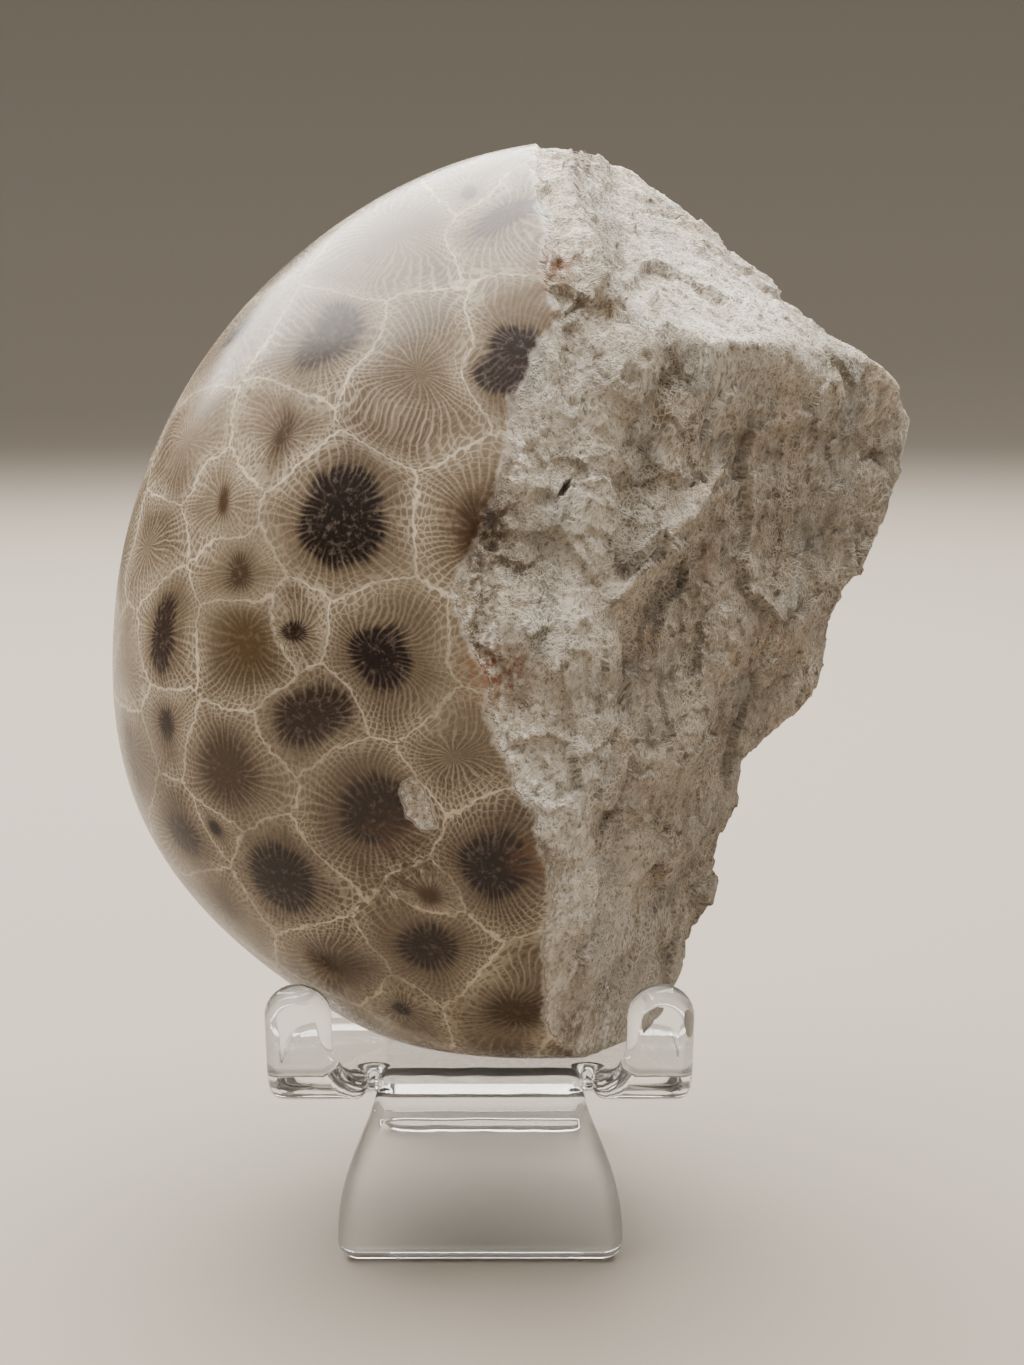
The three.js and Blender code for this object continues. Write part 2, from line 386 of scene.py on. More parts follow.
class Tone(Enum):
    """How a corallite's middle is filled: (darkness, warmth)."""

    BLACK = (1.0, 0.0)
    DARK = (0.98, 0.12)
    BROWN = (0.93, 0.5)
    OLIVE = (0.85, 0.9)
    GREY = (0.75, 0.0)
    PALE = (0.22, 0.9)


@dataclass(frozen=True)
class Corallite:
    """One coral cup on the polished side, placed as seen from the front, in mm.

    Attributes:
        across: Distance to the right of the stone's centre.
        up: Distance above the stone's centre.
        eye: Mean radius of its dark middle.
        tone: What fills the middle.
        spread: How far its walls push into its neighbours.
        stretch: Height of the middle over its width.
        tilt: Turn of the stretched middle, in degrees to the left.
    """

    across: float
    up: float
    eye: float
    tone: Tone = Tone.DARK
    spread: float = 0.0
    stretch: float = 1.0
    tilt: float = 0.0


FRONT_CORALLITES = (
    # along the top
    Corallite(0.5, 36.0, 2.0, Tone.GREY, 0.0, 0.6, 25),
    Corallite(-3.0, 39.0, 0.8, Tone.GREY, -1.5),
    Corallite(-10.0, 34.0, 1.2, Tone.PALE, 1.0),
    Corallite(-15.5, 24.5, 2.7, Tone.DARK, 0.8, 1.45, -28),
    Corallite(-25.5, 26.0, 1.6, Tone.DARK, 0.0, 1.5, -30),
    Corallite(1.5, 22.0, 2.9, Tone.BLACK, 0.5, 1.1),
    Corallite(-7.5, 20.5, 2.0, Tone.PALE, 1.8),
    # upper left
    Corallite(-20.0, 15.5, 1.4, Tone.BROWN, -0.4, 2.3, -6),
    Corallite(-29.5, 15.5, 1.4, Tone.PALE),
    Corallite(-25.0, 9.5, 0.9, Tone.BROWN, -0.8, 1.7, -8),
    Corallite(-33.0, 6.0, 1.4, Tone.PALE, -0.5),
    Corallite(-14.0, 7.5, 3.7, Tone.BLACK, 2.2, 1.1),
    Corallite(-1.5, 6.5, 2.2, Tone.BROWN, 1.5, 1.3, -30),
    Corallite(-23.5, 3.0, 1.4, Tone.BROWN, -0.8, 1.2),
    # middle left
    Corallite(-31.0, -2.5, 2.5, Tone.DARK, 0.0, 1.9, -8),
    Corallite(-22.5, -4.0, 2.4, Tone.OLIVE, 0.4),
    Corallite(-18.5, -2.5, 1.0, Tone.DARK, -0.8),
    Corallite(-10.5, -5.0, 2.8, Tone.BLACK, 1.6),
    Corallite(-35.5, -6.0, 1.2, Tone.PALE, -0.6),
    Corallite(-17.0, -10.5, 2.7, Tone.DARK, -0.2),
    Corallite(-31.0, -11.0, 1.5, Tone.DARK, -0.8, 1.3),
    Corallite(-35.5, -14.0, 1.8, Tone.BROWN, 0.0, 2.1),
    Corallite(-3.5, -14.0, 1.3, Tone.PALE, -0.2),
    Corallite(-24.5, -15.0, 2.8, Tone.BROWN, 0.4, 1.1),
    # lower left
    Corallite(-11.5, -19.0, 2.6, Tone.DARK, 1.2),
    Corallite(-30.0, -21.5, 2.1, Tone.DARK, 0.0, 1.1, 20),
    Corallite(-26.5, -20.5, 0.8, Tone.BLACK, -1.8),
    Corallite(-0.5, -23.5, 2.8, Tone.BLACK, 0.6),
    Corallite(-20.0, -25.0, 3.2, Tone.BLACK, 0.4),
    Corallite(-26.5, -28.0, 1.6, Tone.OLIVE, -0.3),
    Corallite(-6.5, -26.5, 0.7, Tone.BROWN, -1.8),
    Corallite(-6.5, -31.5, 2.6, Tone.DARK, 0.4),
    Corallite(-14.5, -33.5, 1.8, Tone.BROWN, 0.0, 0.62, -12),
    Corallite(-9.5, -37.5, 0.9, Tone.DARK, -1.2),
    Corallite(2.5, -37.5, 2.6, Tone.BROWN, 0.8, 0.75),
    Corallite(7.5, -39.5, 0.9, Tone.DARK, -0.8),
)


@dataclass(frozen=True)
class StainOrPaintedLight:
    """A blot on the stone's front, a stain or a patch of painted light: where it is, how far it spreads, and
    its strength, in mm.

    Attributes:
        across: Distance to the right of the stone's centre.
        up: Distance above the stone's centre.
        reach: Radius at which it has faded.
        rust: How much red-brown it brings, from 0 to 1.
        dark: How much dark brown it brings, from 0 to 1.
        pale: How much it whitens the break, partly its whiter crystals and partly painted light where the
            break faces the light, from 0 to 1.
    """

    across: float
    up: float
    reach: float
    rust: float = 0.0
    dark: float = 0.0
    pale: float = 0.0


STAINS_AND_PAINTED_LIGHT = (
    StainOrPaintedLight(5.0, 30.5, 2.2, 1.0, 0.3),
    StainOrPaintedLight(-1.5, 7.0, 3.6, 0.3, 0.9),
    StainOrPaintedLight(0.0, -6.0, 3.2, 1.0, 0.0),
    StainOrPaintedLight(-8.5, -23.5, 4.4, 0.3, 0.7),
    StainOrPaintedLight(3.0, -22.5, 2.2, 0.5, 0.4),
    StainOrPaintedLight(7.0, 43.0, 1.0, 0.0, 0.9),
    StainOrPaintedLight(7.5, -39.5, 1.8, 0.4, 0.6),
    StainOrPaintedLight(32.0, 31.0, 1.6, dark=0.9),
    StainOrPaintedLight(35.5, 27.5, 1.4, dark=0.8),
    # painted light, partly whiter crystals: pale patches on the shoulder, the knob and the ridge beside the
    # polish
    StainOrPaintedLight(23.0, 33.0, 12.0, pale=0.8),
    StainOrPaintedLight(11.0, 41.0, 7.0, pale=0.5),
    StainOrPaintedLight(6.0, 19.0, 7.0, pale=0.5),
    StainOrPaintedLight(10.0, 8.0, 8.0, pale=0.45),
    StainOrPaintedLight(5.0, -3.0, 7.0, pale=0.45),
    StainOrPaintedLight(6.0, -18.0, 8.0, pale=0.55),
    StainOrPaintedLight(10.0, -31.0, 8.0, pale=0.5),
)
CHIPS = (
    # across, up and radius of small flakes lost from the polish
    (-7.7, -16.8, 1.2),
    (-7.1, -18.3, 1.3),
    (-6.3, -19.6, 0.9),
)


@dataclass
class Colony:
    """The corallites, as cells of directions from the point where the colony grew."""

    shape: StoneShape
    spacing: float = 10.5
    mean_radius: float = 36.0
    small_below: float = 28.0  # nearer to the origin than this, middles shrink
    smallest: float = 0.4  # share of their size that they keep
    sway: float = 0.42
    wave_count: int = 14
    wave_lengths: tuple[float, float] = (4, 10)  # in mm
    jitter: float = 0.2  # share of the spacing that the filled-in cups are moved
    clearance: float = 0.8  # share of the spacing that they keep from the chosen ones
    septa_pairs: tuple[float, float] = (22, 27)
    tone_shares: tuple[float, ...] = (0.22, 0.28, 0.16, 0.12, 0.1, 0.12)
    neighbours: int = 10
    seed: int = 7
    centres: np.ndarray = field(init=False)
    spreads: np.ndarray = field(init=False)
    looks: np.ndarray = field(init=False)

    def __post_init__(self) -> None:
        """Place the chosen corallites, and fill the rest of the sphere evenly."""
        chosen = np.array([self.front_direction(c.across, c.up) for c in FRONT_CORALLITES])
        rest = self.fill_directions(chosen)
        draw = np.random.default_rng(self.seed)
        tones = list(Tone)
        picks = draw.choice(len(tones), len(rest), p=self.tone_shares)
        self.centres = np.vstack([chosen, rest])
        own = [c.spread for c in FRONT_CORALLITES]
        self.spreads = np.array(own + list(draw.uniform(-1, 1, len(rest))))
        looks = [(c.eye, *c.tone.value, c.stretch, math.radians(c.tilt)) for c in FRONT_CORALLITES]
        looks += [(draw.uniform(1.3, 3.0), *tones[i].value, draw.uniform(0.8, 1.4), draw.uniform(-1, 1))
                  for i in picks]
        self.looks = np.array(looks)

    def front_direction(self, across: float, up: float) -> np.ndarray:
        """The direction to a point of the round face, given as seen from the front.

        Args:
            across: Distance to the right of the centre, in mm.
            up: Distance above the centre, in mm.

        Returns:
            The unit direction.
        """
        outline = self.shape.outline_radius(np.array([math.atan2(up, across)]))[0]
        share = min(math.hypot(across, up) / outline, 0.995)
        power = self.shape.fullness
        depth = self.shape.front_depth * (1 - share ** power) ** (1 / power)
        point = np.array([across, -depth, up])
        return point / np.linalg.norm(point)

    def fill_directions(self, chosen: np.ndarray) -> np.ndarray:
        """Evenly spread directions that keep clear of the chosen ones.

        Args:
            chosen: The unit directions that are taken.

        Returns:
            More unit directions, one a row.
        """
        step = self.spacing / self.mean_radius
        row_height = 0.866  # of a honeycomb, over its spacing
        count = int(4 * math.pi / (step * step * row_height))
        index = np.arange(count) + 0.5
        tilt = np.arccos(1 - 2 * index / count)
        turn = math.pi * (1 + 5 ** 0.5) * index
        spread = np.stack([np.cos(turn) * np.sin(tilt), np.sin(turn) * np.sin(tilt), np.cos(tilt)], 1)
        spread += np.random.default_rng(self.seed + 1).normal(0, self.jitter * step, spread.shape)
        spread /= np.linalg.norm(spread, axis=1, keepdims=True)
        nearest = (spread @ chosen.T).max(axis=1)
        return spread[nearest < math.cos(self.clearance * step)]

    def swayed(self, points: np.ndarray) -> np.ndarray:
        """Unit directions to the points, swayed by smooth waves so that walls curve.

        Args:
            points: Points around the colony's origin, in mm.

        Returns:
            The directions, one a row.
        """
        draw = np.random.default_rng(self.seed + 3)
        count = self.wave_count
        waves = draw.normal(0, 1, (count, 3))
        lengths = draw.uniform(*self.wave_lengths, (count, 1))
        waves *= 2 * math.pi / (lengths * np.linalg.norm(waves, axis=1, keepdims=True))
        starts = draw.uniform(0, 2 * math.pi, (count, 3))
        phases = points @ waves.T
        shift = sum(np.sin(phases[:, i:i + 1] + starts[i]) for i in range(count))
        moved = points + shift * self.sway / (count / 2) ** 0.5
        return moved / np.linalg.norm(moved, axis=1, keepdims=True)

    def gaps(self, unit: np.ndarray, centres: np.ndarray, spreads: np.ndarray) -> np.ndarray:
        """Distance from directions to cell centres at the mean radius, less the cells' spreads."""
        return self.mean_radius * np.sqrt(np.maximum(2 - 2 * (unit * centres).sum(-1), 1e-9)) - spreads

    def divide(self, points: np.ndarray, triangles: np.ndarray) -> tuple[np.ndarray, list, np.ndarray]:
        """Cut a triangle mesh along the cell borders.

        Args:
            points: Vertex positions, from the colony's origin.
            triangles: Vertex numbers of each triangle.

        Returns:
            The vertices, the faces as vertex lists, and each face's cell.
        """
        unit = self.swayed(points)
        cosines = np.maximum(2 - 2 * unit @ self.centres.T, 1e-9)
        values = self.mean_radius * np.sqrt(cosines) - self.spreads
        cells = values.argmin(axis=1)[triangles]
        whole = (cells[:, 0] == cells[:, 1]) & (cells[:, 1] == cells[:, 2])
        faces = triangles[whole].tolist()
        face_cells = cells[whole, 0].tolist()
        vertices = points.tolist()
        numbers: dict[tuple, int] = {}

        def number(row: np.ndarray) -> int:
            """The number of the vertex at a row's place, which is added if it is new.

            Args:
                row: A position, then its distance to each candidate cell.

            Returns:
                The vertex's number.
            """
            key = tuple(np.round(row[:3], 5))
            if key not in numbers:
                numbers[key] = len(vertices)
                vertices.append(row[:3].tolist())
            return numbers[key]

        cut = triangles[~whole]
        for corner in np.unique(cut):
            numbers[tuple(np.round(points[corner], 5))] = int(corner)
        ranked = np.argsort(values[cut].mean(axis=1), axis=1)[:, :6]
        for triangle, near, inside in zip(cut, ranked, cells[~whole]):
            candidates = sorted(set(near.tolist()) | set(inside.tolist()))
            rows = np.hstack([points[triangle], values[triangle][:, candidates]])
            for place, cell in enumerate(candidates):
                polygon = list(rows)
                for other in range(len(candidates)):
                    if other != place and polygon:
                        polygon = clipped(polygon, 3 + place, 3 + other)
                loop = list(dict.fromkeys(number(row) for row in polygon))
                if len(loop) > 2:
                    faces.append(loop)
                    face_cells.append(cell)
        return np.array(vertices), faces, np.array(face_cells)

    def coordinates(self, points: np.ndarray, faces: list,
                    cells: np.ndarray) -> dict[str, np.ndarray]:
        """What the material reads at each face corner.

        Args:
            points: The vertex positions, from the colony's origin.
            faces: The faces as vertex lists.
            cells: The cell of each face.

        Returns:
            "corallite": across, up and signed distance to the wall, in mm. "eye": across and up
            over the middle's size, and its darkness. "trait": a random number, the count of septa
            and the middle's warmth.
        """
        sizes = np.array([len(f) for f in faces])
        corners = np.concatenate([np.array(f) for f in faces])
        face_of = np.repeat(np.arange(len(faces)), sizes)
        cell = cells[face_of]
        unit = self.swayed(points)
        length = np.linalg.norm(points, axis=1)[corners]

        near = np.argsort(-(self.centres @ self.centres.T), axis=1)[:, 1:self.neighbours + 1]
        middles = np.add.reduceat(unit[corners], np.concatenate([[0], np.cumsum(sizes)[:-1]]))
        middles /= np.linalg.norm(middles, axis=1, keepdims=True)
        others = near[cells]
        reach = self.gaps(middles[:, None, :], self.centres[others], self.spreads[others])
        neighbour = others[np.arange(len(cells)), reach.argmin(axis=1)][face_of]

        at = unit[corners]
        own = self.gaps(at, self.centres[cell], self.spreads[cell])
        next_one = self.gaps(at, self.centres[neighbour], self.spreads[neighbour])
        pull = towards(at, self.centres[neighbour]) - towards(at, self.centres[cell])
        steep = np.maximum(np.linalg.norm(pull, axis=1), 0.4)
        wall = np.maximum(next_one - own, 0) / steep * length / self.mean_radius
        wall *= np.where(cell > neighbour, 1, -1)

        axis = self.centres[cell]
        right = np.cross([0.0, 0.0, 1.0], axis)
        right /= np.linalg.norm(right, axis=1, keepdims=True)
        along = np.maximum((at * axis).sum(1), 0.2)
        x = (at * right).sum(1) / along * length
        y = (at * np.cross(axis, right)).sum(1) / along * length
        draw = np.random.default_rng(self.seed + 2)
        chance = draw.uniform(0, 1, len(self.centres))[cell]
        septa = 2 * np.round(draw.uniform(*self.septa_pairs, len(self.centres)))[cell]
        eye, dark, warm, stretch, tilt = self.looks[cell].T
        eye = eye * np.clip(length / self.small_below, self.smallest, 1)
        cos, sin = np.cos(tilt), np.sin(tilt)
        eye_x = (x * cos + y * sin) / eye * np.sqrt(stretch)
        eye_y = (y * cos - x * sin) / eye / np.sqrt(stretch)
        return {
            "corallite": np.stack([x, y, wall], 1),
            "eye": np.stack([eye_x, eye_y, dark], 1),
            "trait": np.stack([chance, septa, warm], 1),
        }


def towards(points: np.ndarray, centres: np.ndarray) -> np.ndarray:
    """Unit vectors from points to centres."""
    step = centres - points
    return step / np.maximum(np.linalg.norm(step, axis=1, keepdims=True), 1e-6)


def clipped(polygon: list[np.ndarray], low: int, high: int) -> list[np.ndarray]:
    """Keep the part of a polygon where column `low` is less than column `high`.

    Args:
        polygon: Its corners, each a row of numbers.
        low: The column that has to be less.
        high: The column that it is held against.

    Returns:
        The corners that are left, with new ones on the cut.
    """
    kept = []
    sides = [row[high] - row[low] for row in polygon]
    for i, row in enumerate(polygon):
        following = (i + 1) % len(polygon)
        if sides[i] >= 0:
            kept.append(row)
        if (sides[i] >= 0) != (sides[following] >= 0):
            share = sides[i] / (sides[i] - sides[following])
            kept.append(row + share * (polygon[following] - row))
    return kept


@dataclass
class CoralHead:
    """The stone: its surface, its corallites, its broken relief and its finish."""

    centre: Vector
    lean: float = 9.3
    divisions: int = 36
    refinements: int = 2
    facet_height: float = 0.9
    facet_size: float = 8.0
    splinter_height: float = 0.36
    splinter_size: float = 2.0
    groove_height: float = 0.28
    groove_size: float = 1.6
    grain_height: float = 0.1
    grain_size: float = 0.9
    seed: float = 3.0
    chip_slope: float = 3  # how steeply the small lost flakes go down
    depth_limits: tuple[float, float] = (-3, 12)
    relief_fade: float = 1.1  # depth at which the relief has its full height
    stand_level: float = -42  # height at which the relief is least, for the stand's sake
    stand_fade: float = 8
    least_relief: float = 0.1
    shape: StoneShape = field(default_factory=StoneShape)

    def directions(self) -> tuple[np.ndarray, np.ndarray]:
        """An icosphere of directions, finer where the stone is broken.

        Returns:
            The unit directions, and the triangles between them.
        """
        mesh = bmesh.new()
        bmesh.ops.create_icosphere(mesh, subdivisions=1, radius=1.0)
        bmesh.ops.subdivide_edges(mesh, edges=mesh.edges[:], cuts=self.divisions, use_grid_fill=True)
        for _ in range(self.refinements):
            rough = self.shape.surface(unit_rows(mesh))[1] > -0.5
            edges = [e for e in mesh.edges if rough[e.verts[0].index] and rough[e.verts[1].index]]
            bmesh.ops.subdivide_edges(mesh, edges=edges, cuts=1, use_grid_fill=True)
            bmesh.ops.triangulate(mesh, faces=[f for f in mesh.faces if len(f.verts) > 3])
            mesh.verts.index_update()
        directions = unit_rows(mesh)
        triangles = np.array([[v.index for v in f.verts] for f in mesh.faces])
        mesh.free()
        return directions, triangles

    def place(self) -> Matrix:
        """The transform from the stone's own mm to the frame's metres."""
        turn = Matrix.Rotation(-math.radians(self.lean), 4, "X")
        return Matrix.Translation(self.centre) @ turn @ Matrix.Scale(MM, 4)

    def brokenness(self, points: np.ndarray) -> np.ndarray:
        """How far inside the broken area or a chip each point lies, in mm.

        Args:
            points: Points around the stone's centre, in mm.

        Returns:
            The depths, negative on the polish.
        """
        depth = self.shape.surface(points / np.linalg.norm(points, axis=1, keepdims=True))[1]
        for across, up, radius in CHIPS:
            apart = np.hypot(points[:, 0] - across, points[:, 2] - up)
            flake = self.chip_slope * (radius - apart)
            depth = np.maximum(depth, np.where(points[:, 1] < 0, flake, NOT_BROKEN))
        return np.clip(depth, *self.depth_limits)

    def stains_and_painted_light(self, points: np.ndarray) -> np.ndarray:
        """The rust, the darkness and the whiteness of the blots at each point, the whiteness partly painted
        light.

        Args:
            points: Points around the stone's centre, in mm.

        Returns:
            Three amounts from 0 to 1 for each point.
        """
        amounts = np.zeros((len(points), 3))
        for stain in STAINS_AND_PAINTED_LIGHT:
            apart = np.hypot(points[:, 0] - stain.across, points[:, 2] - stain.up) / stain.reach
            fade = np.where(points[:, 1] < 0, np.clip(1.3 - apart, 0, 1), 0)
            for column, strength in enumerate((stain.rust, stain.dark, stain.pale)):
                amounts[:, column] = np.maximum(amounts[:, column], strength * fade)
        return amounts

    def build(self) -> bpy.types.Object:
        """Make the stone's mesh with its corallites, its relief and its material.

        Returns:
            The finished stone.
        """
        directions, triangles = self.directions()
        colony = Colony(self.shape)
        points, faces, cells = colony.divide(self.shape.surface(directions)[0], triangles)

        mesh = bpy.data.meshes.new("coral_head_surface")
        mesh.from_pydata(points.tolist(), [], faces)
        for name, values in colony.coordinates(points, faces, cells).items():
            store(mesh, name, "CORNER", values)
        depth = self.brokenness(points)
        store(mesh, "broken", "POINT", depth)
        store(mesh, "crest", "POINT", self.shape.creased(points))
        above = (points[:, 2] - self.stand_level) / self.stand_fade
        clear_of_stand = np.clip(above, self.least_relief, 1)
        store(mesh, "relief", "POINT", np.clip(depth / self.relief_fade, 0, 1) * clear_of_stand)
        # the stain attribute holds rust, darkness, and a whiteness that is partly painted light
        store(mesh, "stain", "POINT", self.stains_and_painted_light(points))
        mesh.transform(self.place())
        mesh.shade_smooth()
        LOG.info("stone surface: %d faces, %d corallites", len(faces), len(colony.centres))

        stone = bpy.data.objects.new("fossil_coral", mesh)
        bpy.context.collection.objects.link(stone)
        return self.roughen(stone, FossilLimestone().build())

    def roughen(self, stone: bpy.types.Object, finish: bpy.types.Material) -> bpy.types.Object:
        """Break the unpolished faces into facets, splinters and grain with geometry nodes.

        Args:
            stone: The smooth stone, with its amount of "relief" stored on it.
            finish: The material of the whole stone.

        Returns:
            The stone as a plain mesh.
        """
        tree = bpy.data.node_groups.new("broken_relief", "GeometryNodeTree")
        face = tree.interface
        face.new_socket("Geometry", in_out="INPUT", socket_type="NodeSocketGeometry")
        values = {
            "Facet Height": self.facet_height * MM, "Facet Size": self.facet_size * MM,
            "Splinter Height": self.splinter_height * MM, "Splinter Size": self.splinter_size * MM,
            "Groove Height": self.groove_height * MM, "Groove Size": self.groove_size * MM,
            "Grain Height": self.grain_height * MM, "Grain Size": self.grain_size * MM,
            "Seed": self.seed,
        }
        sockets = {}
        for name in values:
            sockets[name] = face.new_socket(name, in_out="INPUT", socket_type="NodeSocketFloat")
        sockets["Finish"] = face.new_socket("Finish", in_out="INPUT", socket_type="NodeSocketMaterial")
        face.new_socket("Geometry", in_out="OUTPUT", socket_type="NodeSocketGeometry")

        graph = Graph(tree)
        given = {output.name: output for output in graph.add("NodeGroupInput", out=None)}
        position = graph.add("GeometryNodeInputPosition")
        normal = graph.add("GeometryNodeInputNormal")
        mask = graph.add("GeometryNodeInputNamedAttribute", "relief", data_type="FLOAT")
        origin = graph.add("CombineXYZ", given["Seed"], given["Seed"], given["Seed"])

        def chips(size: str, height: str) -> bpy.types.NodeSocket:
            """Height of randomly tilted flat chips of a size.

            Args:
                size: Name of the input that holds their size.
                height: Name of the input that holds their height.

            Returns:
                The height at each vertex.
            """
            per_size = graph.add("Math.DIVIDE", 1.0, given[size])
            at = graph.add("VectorMath.SCALE", position, per_size)
            at = graph.add("VectorMath.ADD", at, origin)
            bent = graph.add("TexNoise", at, 1.3, 2.0, out="Color")
            bent = graph.add("VectorMath.SUBTRACT", bent, (0.5, 0.5, 0.5))
            at = graph.add("VectorMath.ADD", at, graph.add("VectorMath.SCALE", bent, 0.55))
            _, colour, middle = graph.add("TexVoronoi.F1", at, 1.0, out=None)
            lean = graph.add("VectorMath.SUBTRACT", colour, (0.5, 0.5, 0.5))
            local = graph.add("VectorMath.SUBTRACT", at, middle)
            slope = graph.add("VectorMath.DOT_PRODUCT", lean, local, out="Value")
            lift = graph.add("Math.MULTIPLY", graph.add("SeparateXYZ", lean), 0.4)
            tilt = graph.add("Math.MULTIPLY", slope, 1.8)
            return graph.add("Math.MULTIPLY", graph.add("Math.ADD", tilt, lift), given[height])

        def ripples(size: str, height: str, squash: tuple[float, float, float]) -> bpy.types.NodeSocket:
            """Height of noise of a size, squashed along the axes.

            Args:
                size: Name of the input that holds its size.
                height: Name of the input that holds its height.
                squash: How many times finer it is along X, Y and Z.

            Returns:
                The height at each vertex.
            """
            per_size = graph.add("Math.DIVIDE", 1.0, given[size])
            at = graph.add("VectorMath.SCALE", position, per_size)
            at = graph.add("VectorMath.MULTIPLY", at, squash)
            noise = graph.add("TexNoise", graph.add("VectorMath.ADD", at, origin), 1.0, 3.0, 0.6)
            swing = graph.add("Math.SUBTRACT", noise, 0.5)
            return graph.add("Math.MULTIPLY", swing, graph.add("Math.MULTIPLY", given[height], 2.0))

        height = graph.add("Math.ADD", chips("Facet Size", "Facet Height"),
                           chips("Splinter Size", "Splinter Height"))
        height = graph.add("Math.ADD", height, ripples("Groove Size", "Groove Height", (1.0, 1.0, 0.35)))
        height = graph.add("Math.ADD", height, ripples("Grain Size", "Grain Height", (1.0, 1.0, 1.0)))
        offset = graph.add("VectorMath.SCALE", normal, graph.add("Math.MULTIPLY", height, mask))
        moved = graph.add("GeometryNodeSetPosition", given["Geometry"], None, None, offset)
        whole = graph.add("GeometryNodeRealizeInstances", moved)
        dressed = graph.add("GeometryNodeSetMaterial", whole, None, given["Finish"])
        graph.add("NodeGroupOutput", dressed, out=None)

        modifier = stone.modifiers.new("broken_relief", "NODES")
        modifier.node_group = tree
        for name, value in values.items():
            modifier[sockets[name].identifier] = value
        modifier[sockets["Finish"].identifier] = finish
        return made_plain(stone)


def store(mesh: bpy.types.Mesh, name: str, domain: str, values: np.ndarray) -> None:
    """Store numbers or vectors on a mesh as an attribute.

    Args:
        mesh: The mesh.
        name: The attribute's name.
        domain: Whether it is on points or on face corners.
        values: A number or a row of three for each.
    """
    kind, key = ("FLOAT", "value") if values.ndim == 1 else ("FLOAT_VECTOR", "vector")
    layer = mesh.attributes.new(name, kind, domain)
    layer.data.foreach_set(key, values.astype(np.float32).ravel())


def unit_rows(mesh: bmesh.types.BMesh) -> np.ndarray:
    """The vertices' directions from the origin, one a row."""
    rows = np.array([v.co[:] for v in mesh.verts])
    return rows / np.linalg.norm(rows, axis=1, keepdims=True)


def made_plain(piece: bpy.types.Object) -> bpy.types.Object:
    """Swap a piece's mesh for its evaluated one, and drop its modifiers.

    Args:
        piece: The piece with live modifiers.

    Returns:
        The same piece, now a plain mesh.
    """
    evaluated = piece.evaluated_get(bpy.context.evaluated_depsgraph_get())
    mesh = bpy.data.meshes.new_from_object(evaluated)
    piece.modifiers.clear()
    old = piece.data
    piece.data = mesh
    bpy.data.meshes.remove(old)
    return piece


def patches(graph: Graph, at: bpy.types.NodeSocket, per_mm: float, edge: tuple[float, float],
            ends: tuple[float, float] = (0.0, 1.0), shift: tuple[float, float, float] | None = None,
            detail: float = 3.0, rough: float = 0.5) -> bpy.types.NodeSocket:
    """Soft-edged random patches of a size.

    Args:
        graph: The material's graph.
        at: The place on the piece, in mm.
        per_mm: How many patches there are to a millimetre.
        edge: The levels of the noise between which a patch begins and is full.
        ends: The amounts outside and inside a patch.
        shift: Sets these patches apart from others of the same size.
        detail: How many finer sizes are laid over them.
        rough: How strong the finer ones are.

    Returns:
        The amount at each place.
    """
    if shift is not None:
        at = graph.add("VectorMath.ADD", at, shift)
    noise = graph.add("TexNoise", at, per_mm, detail, rough)
    return graph.add("MapRange.SMOOTHSTEP", noise, *edge, *ends)


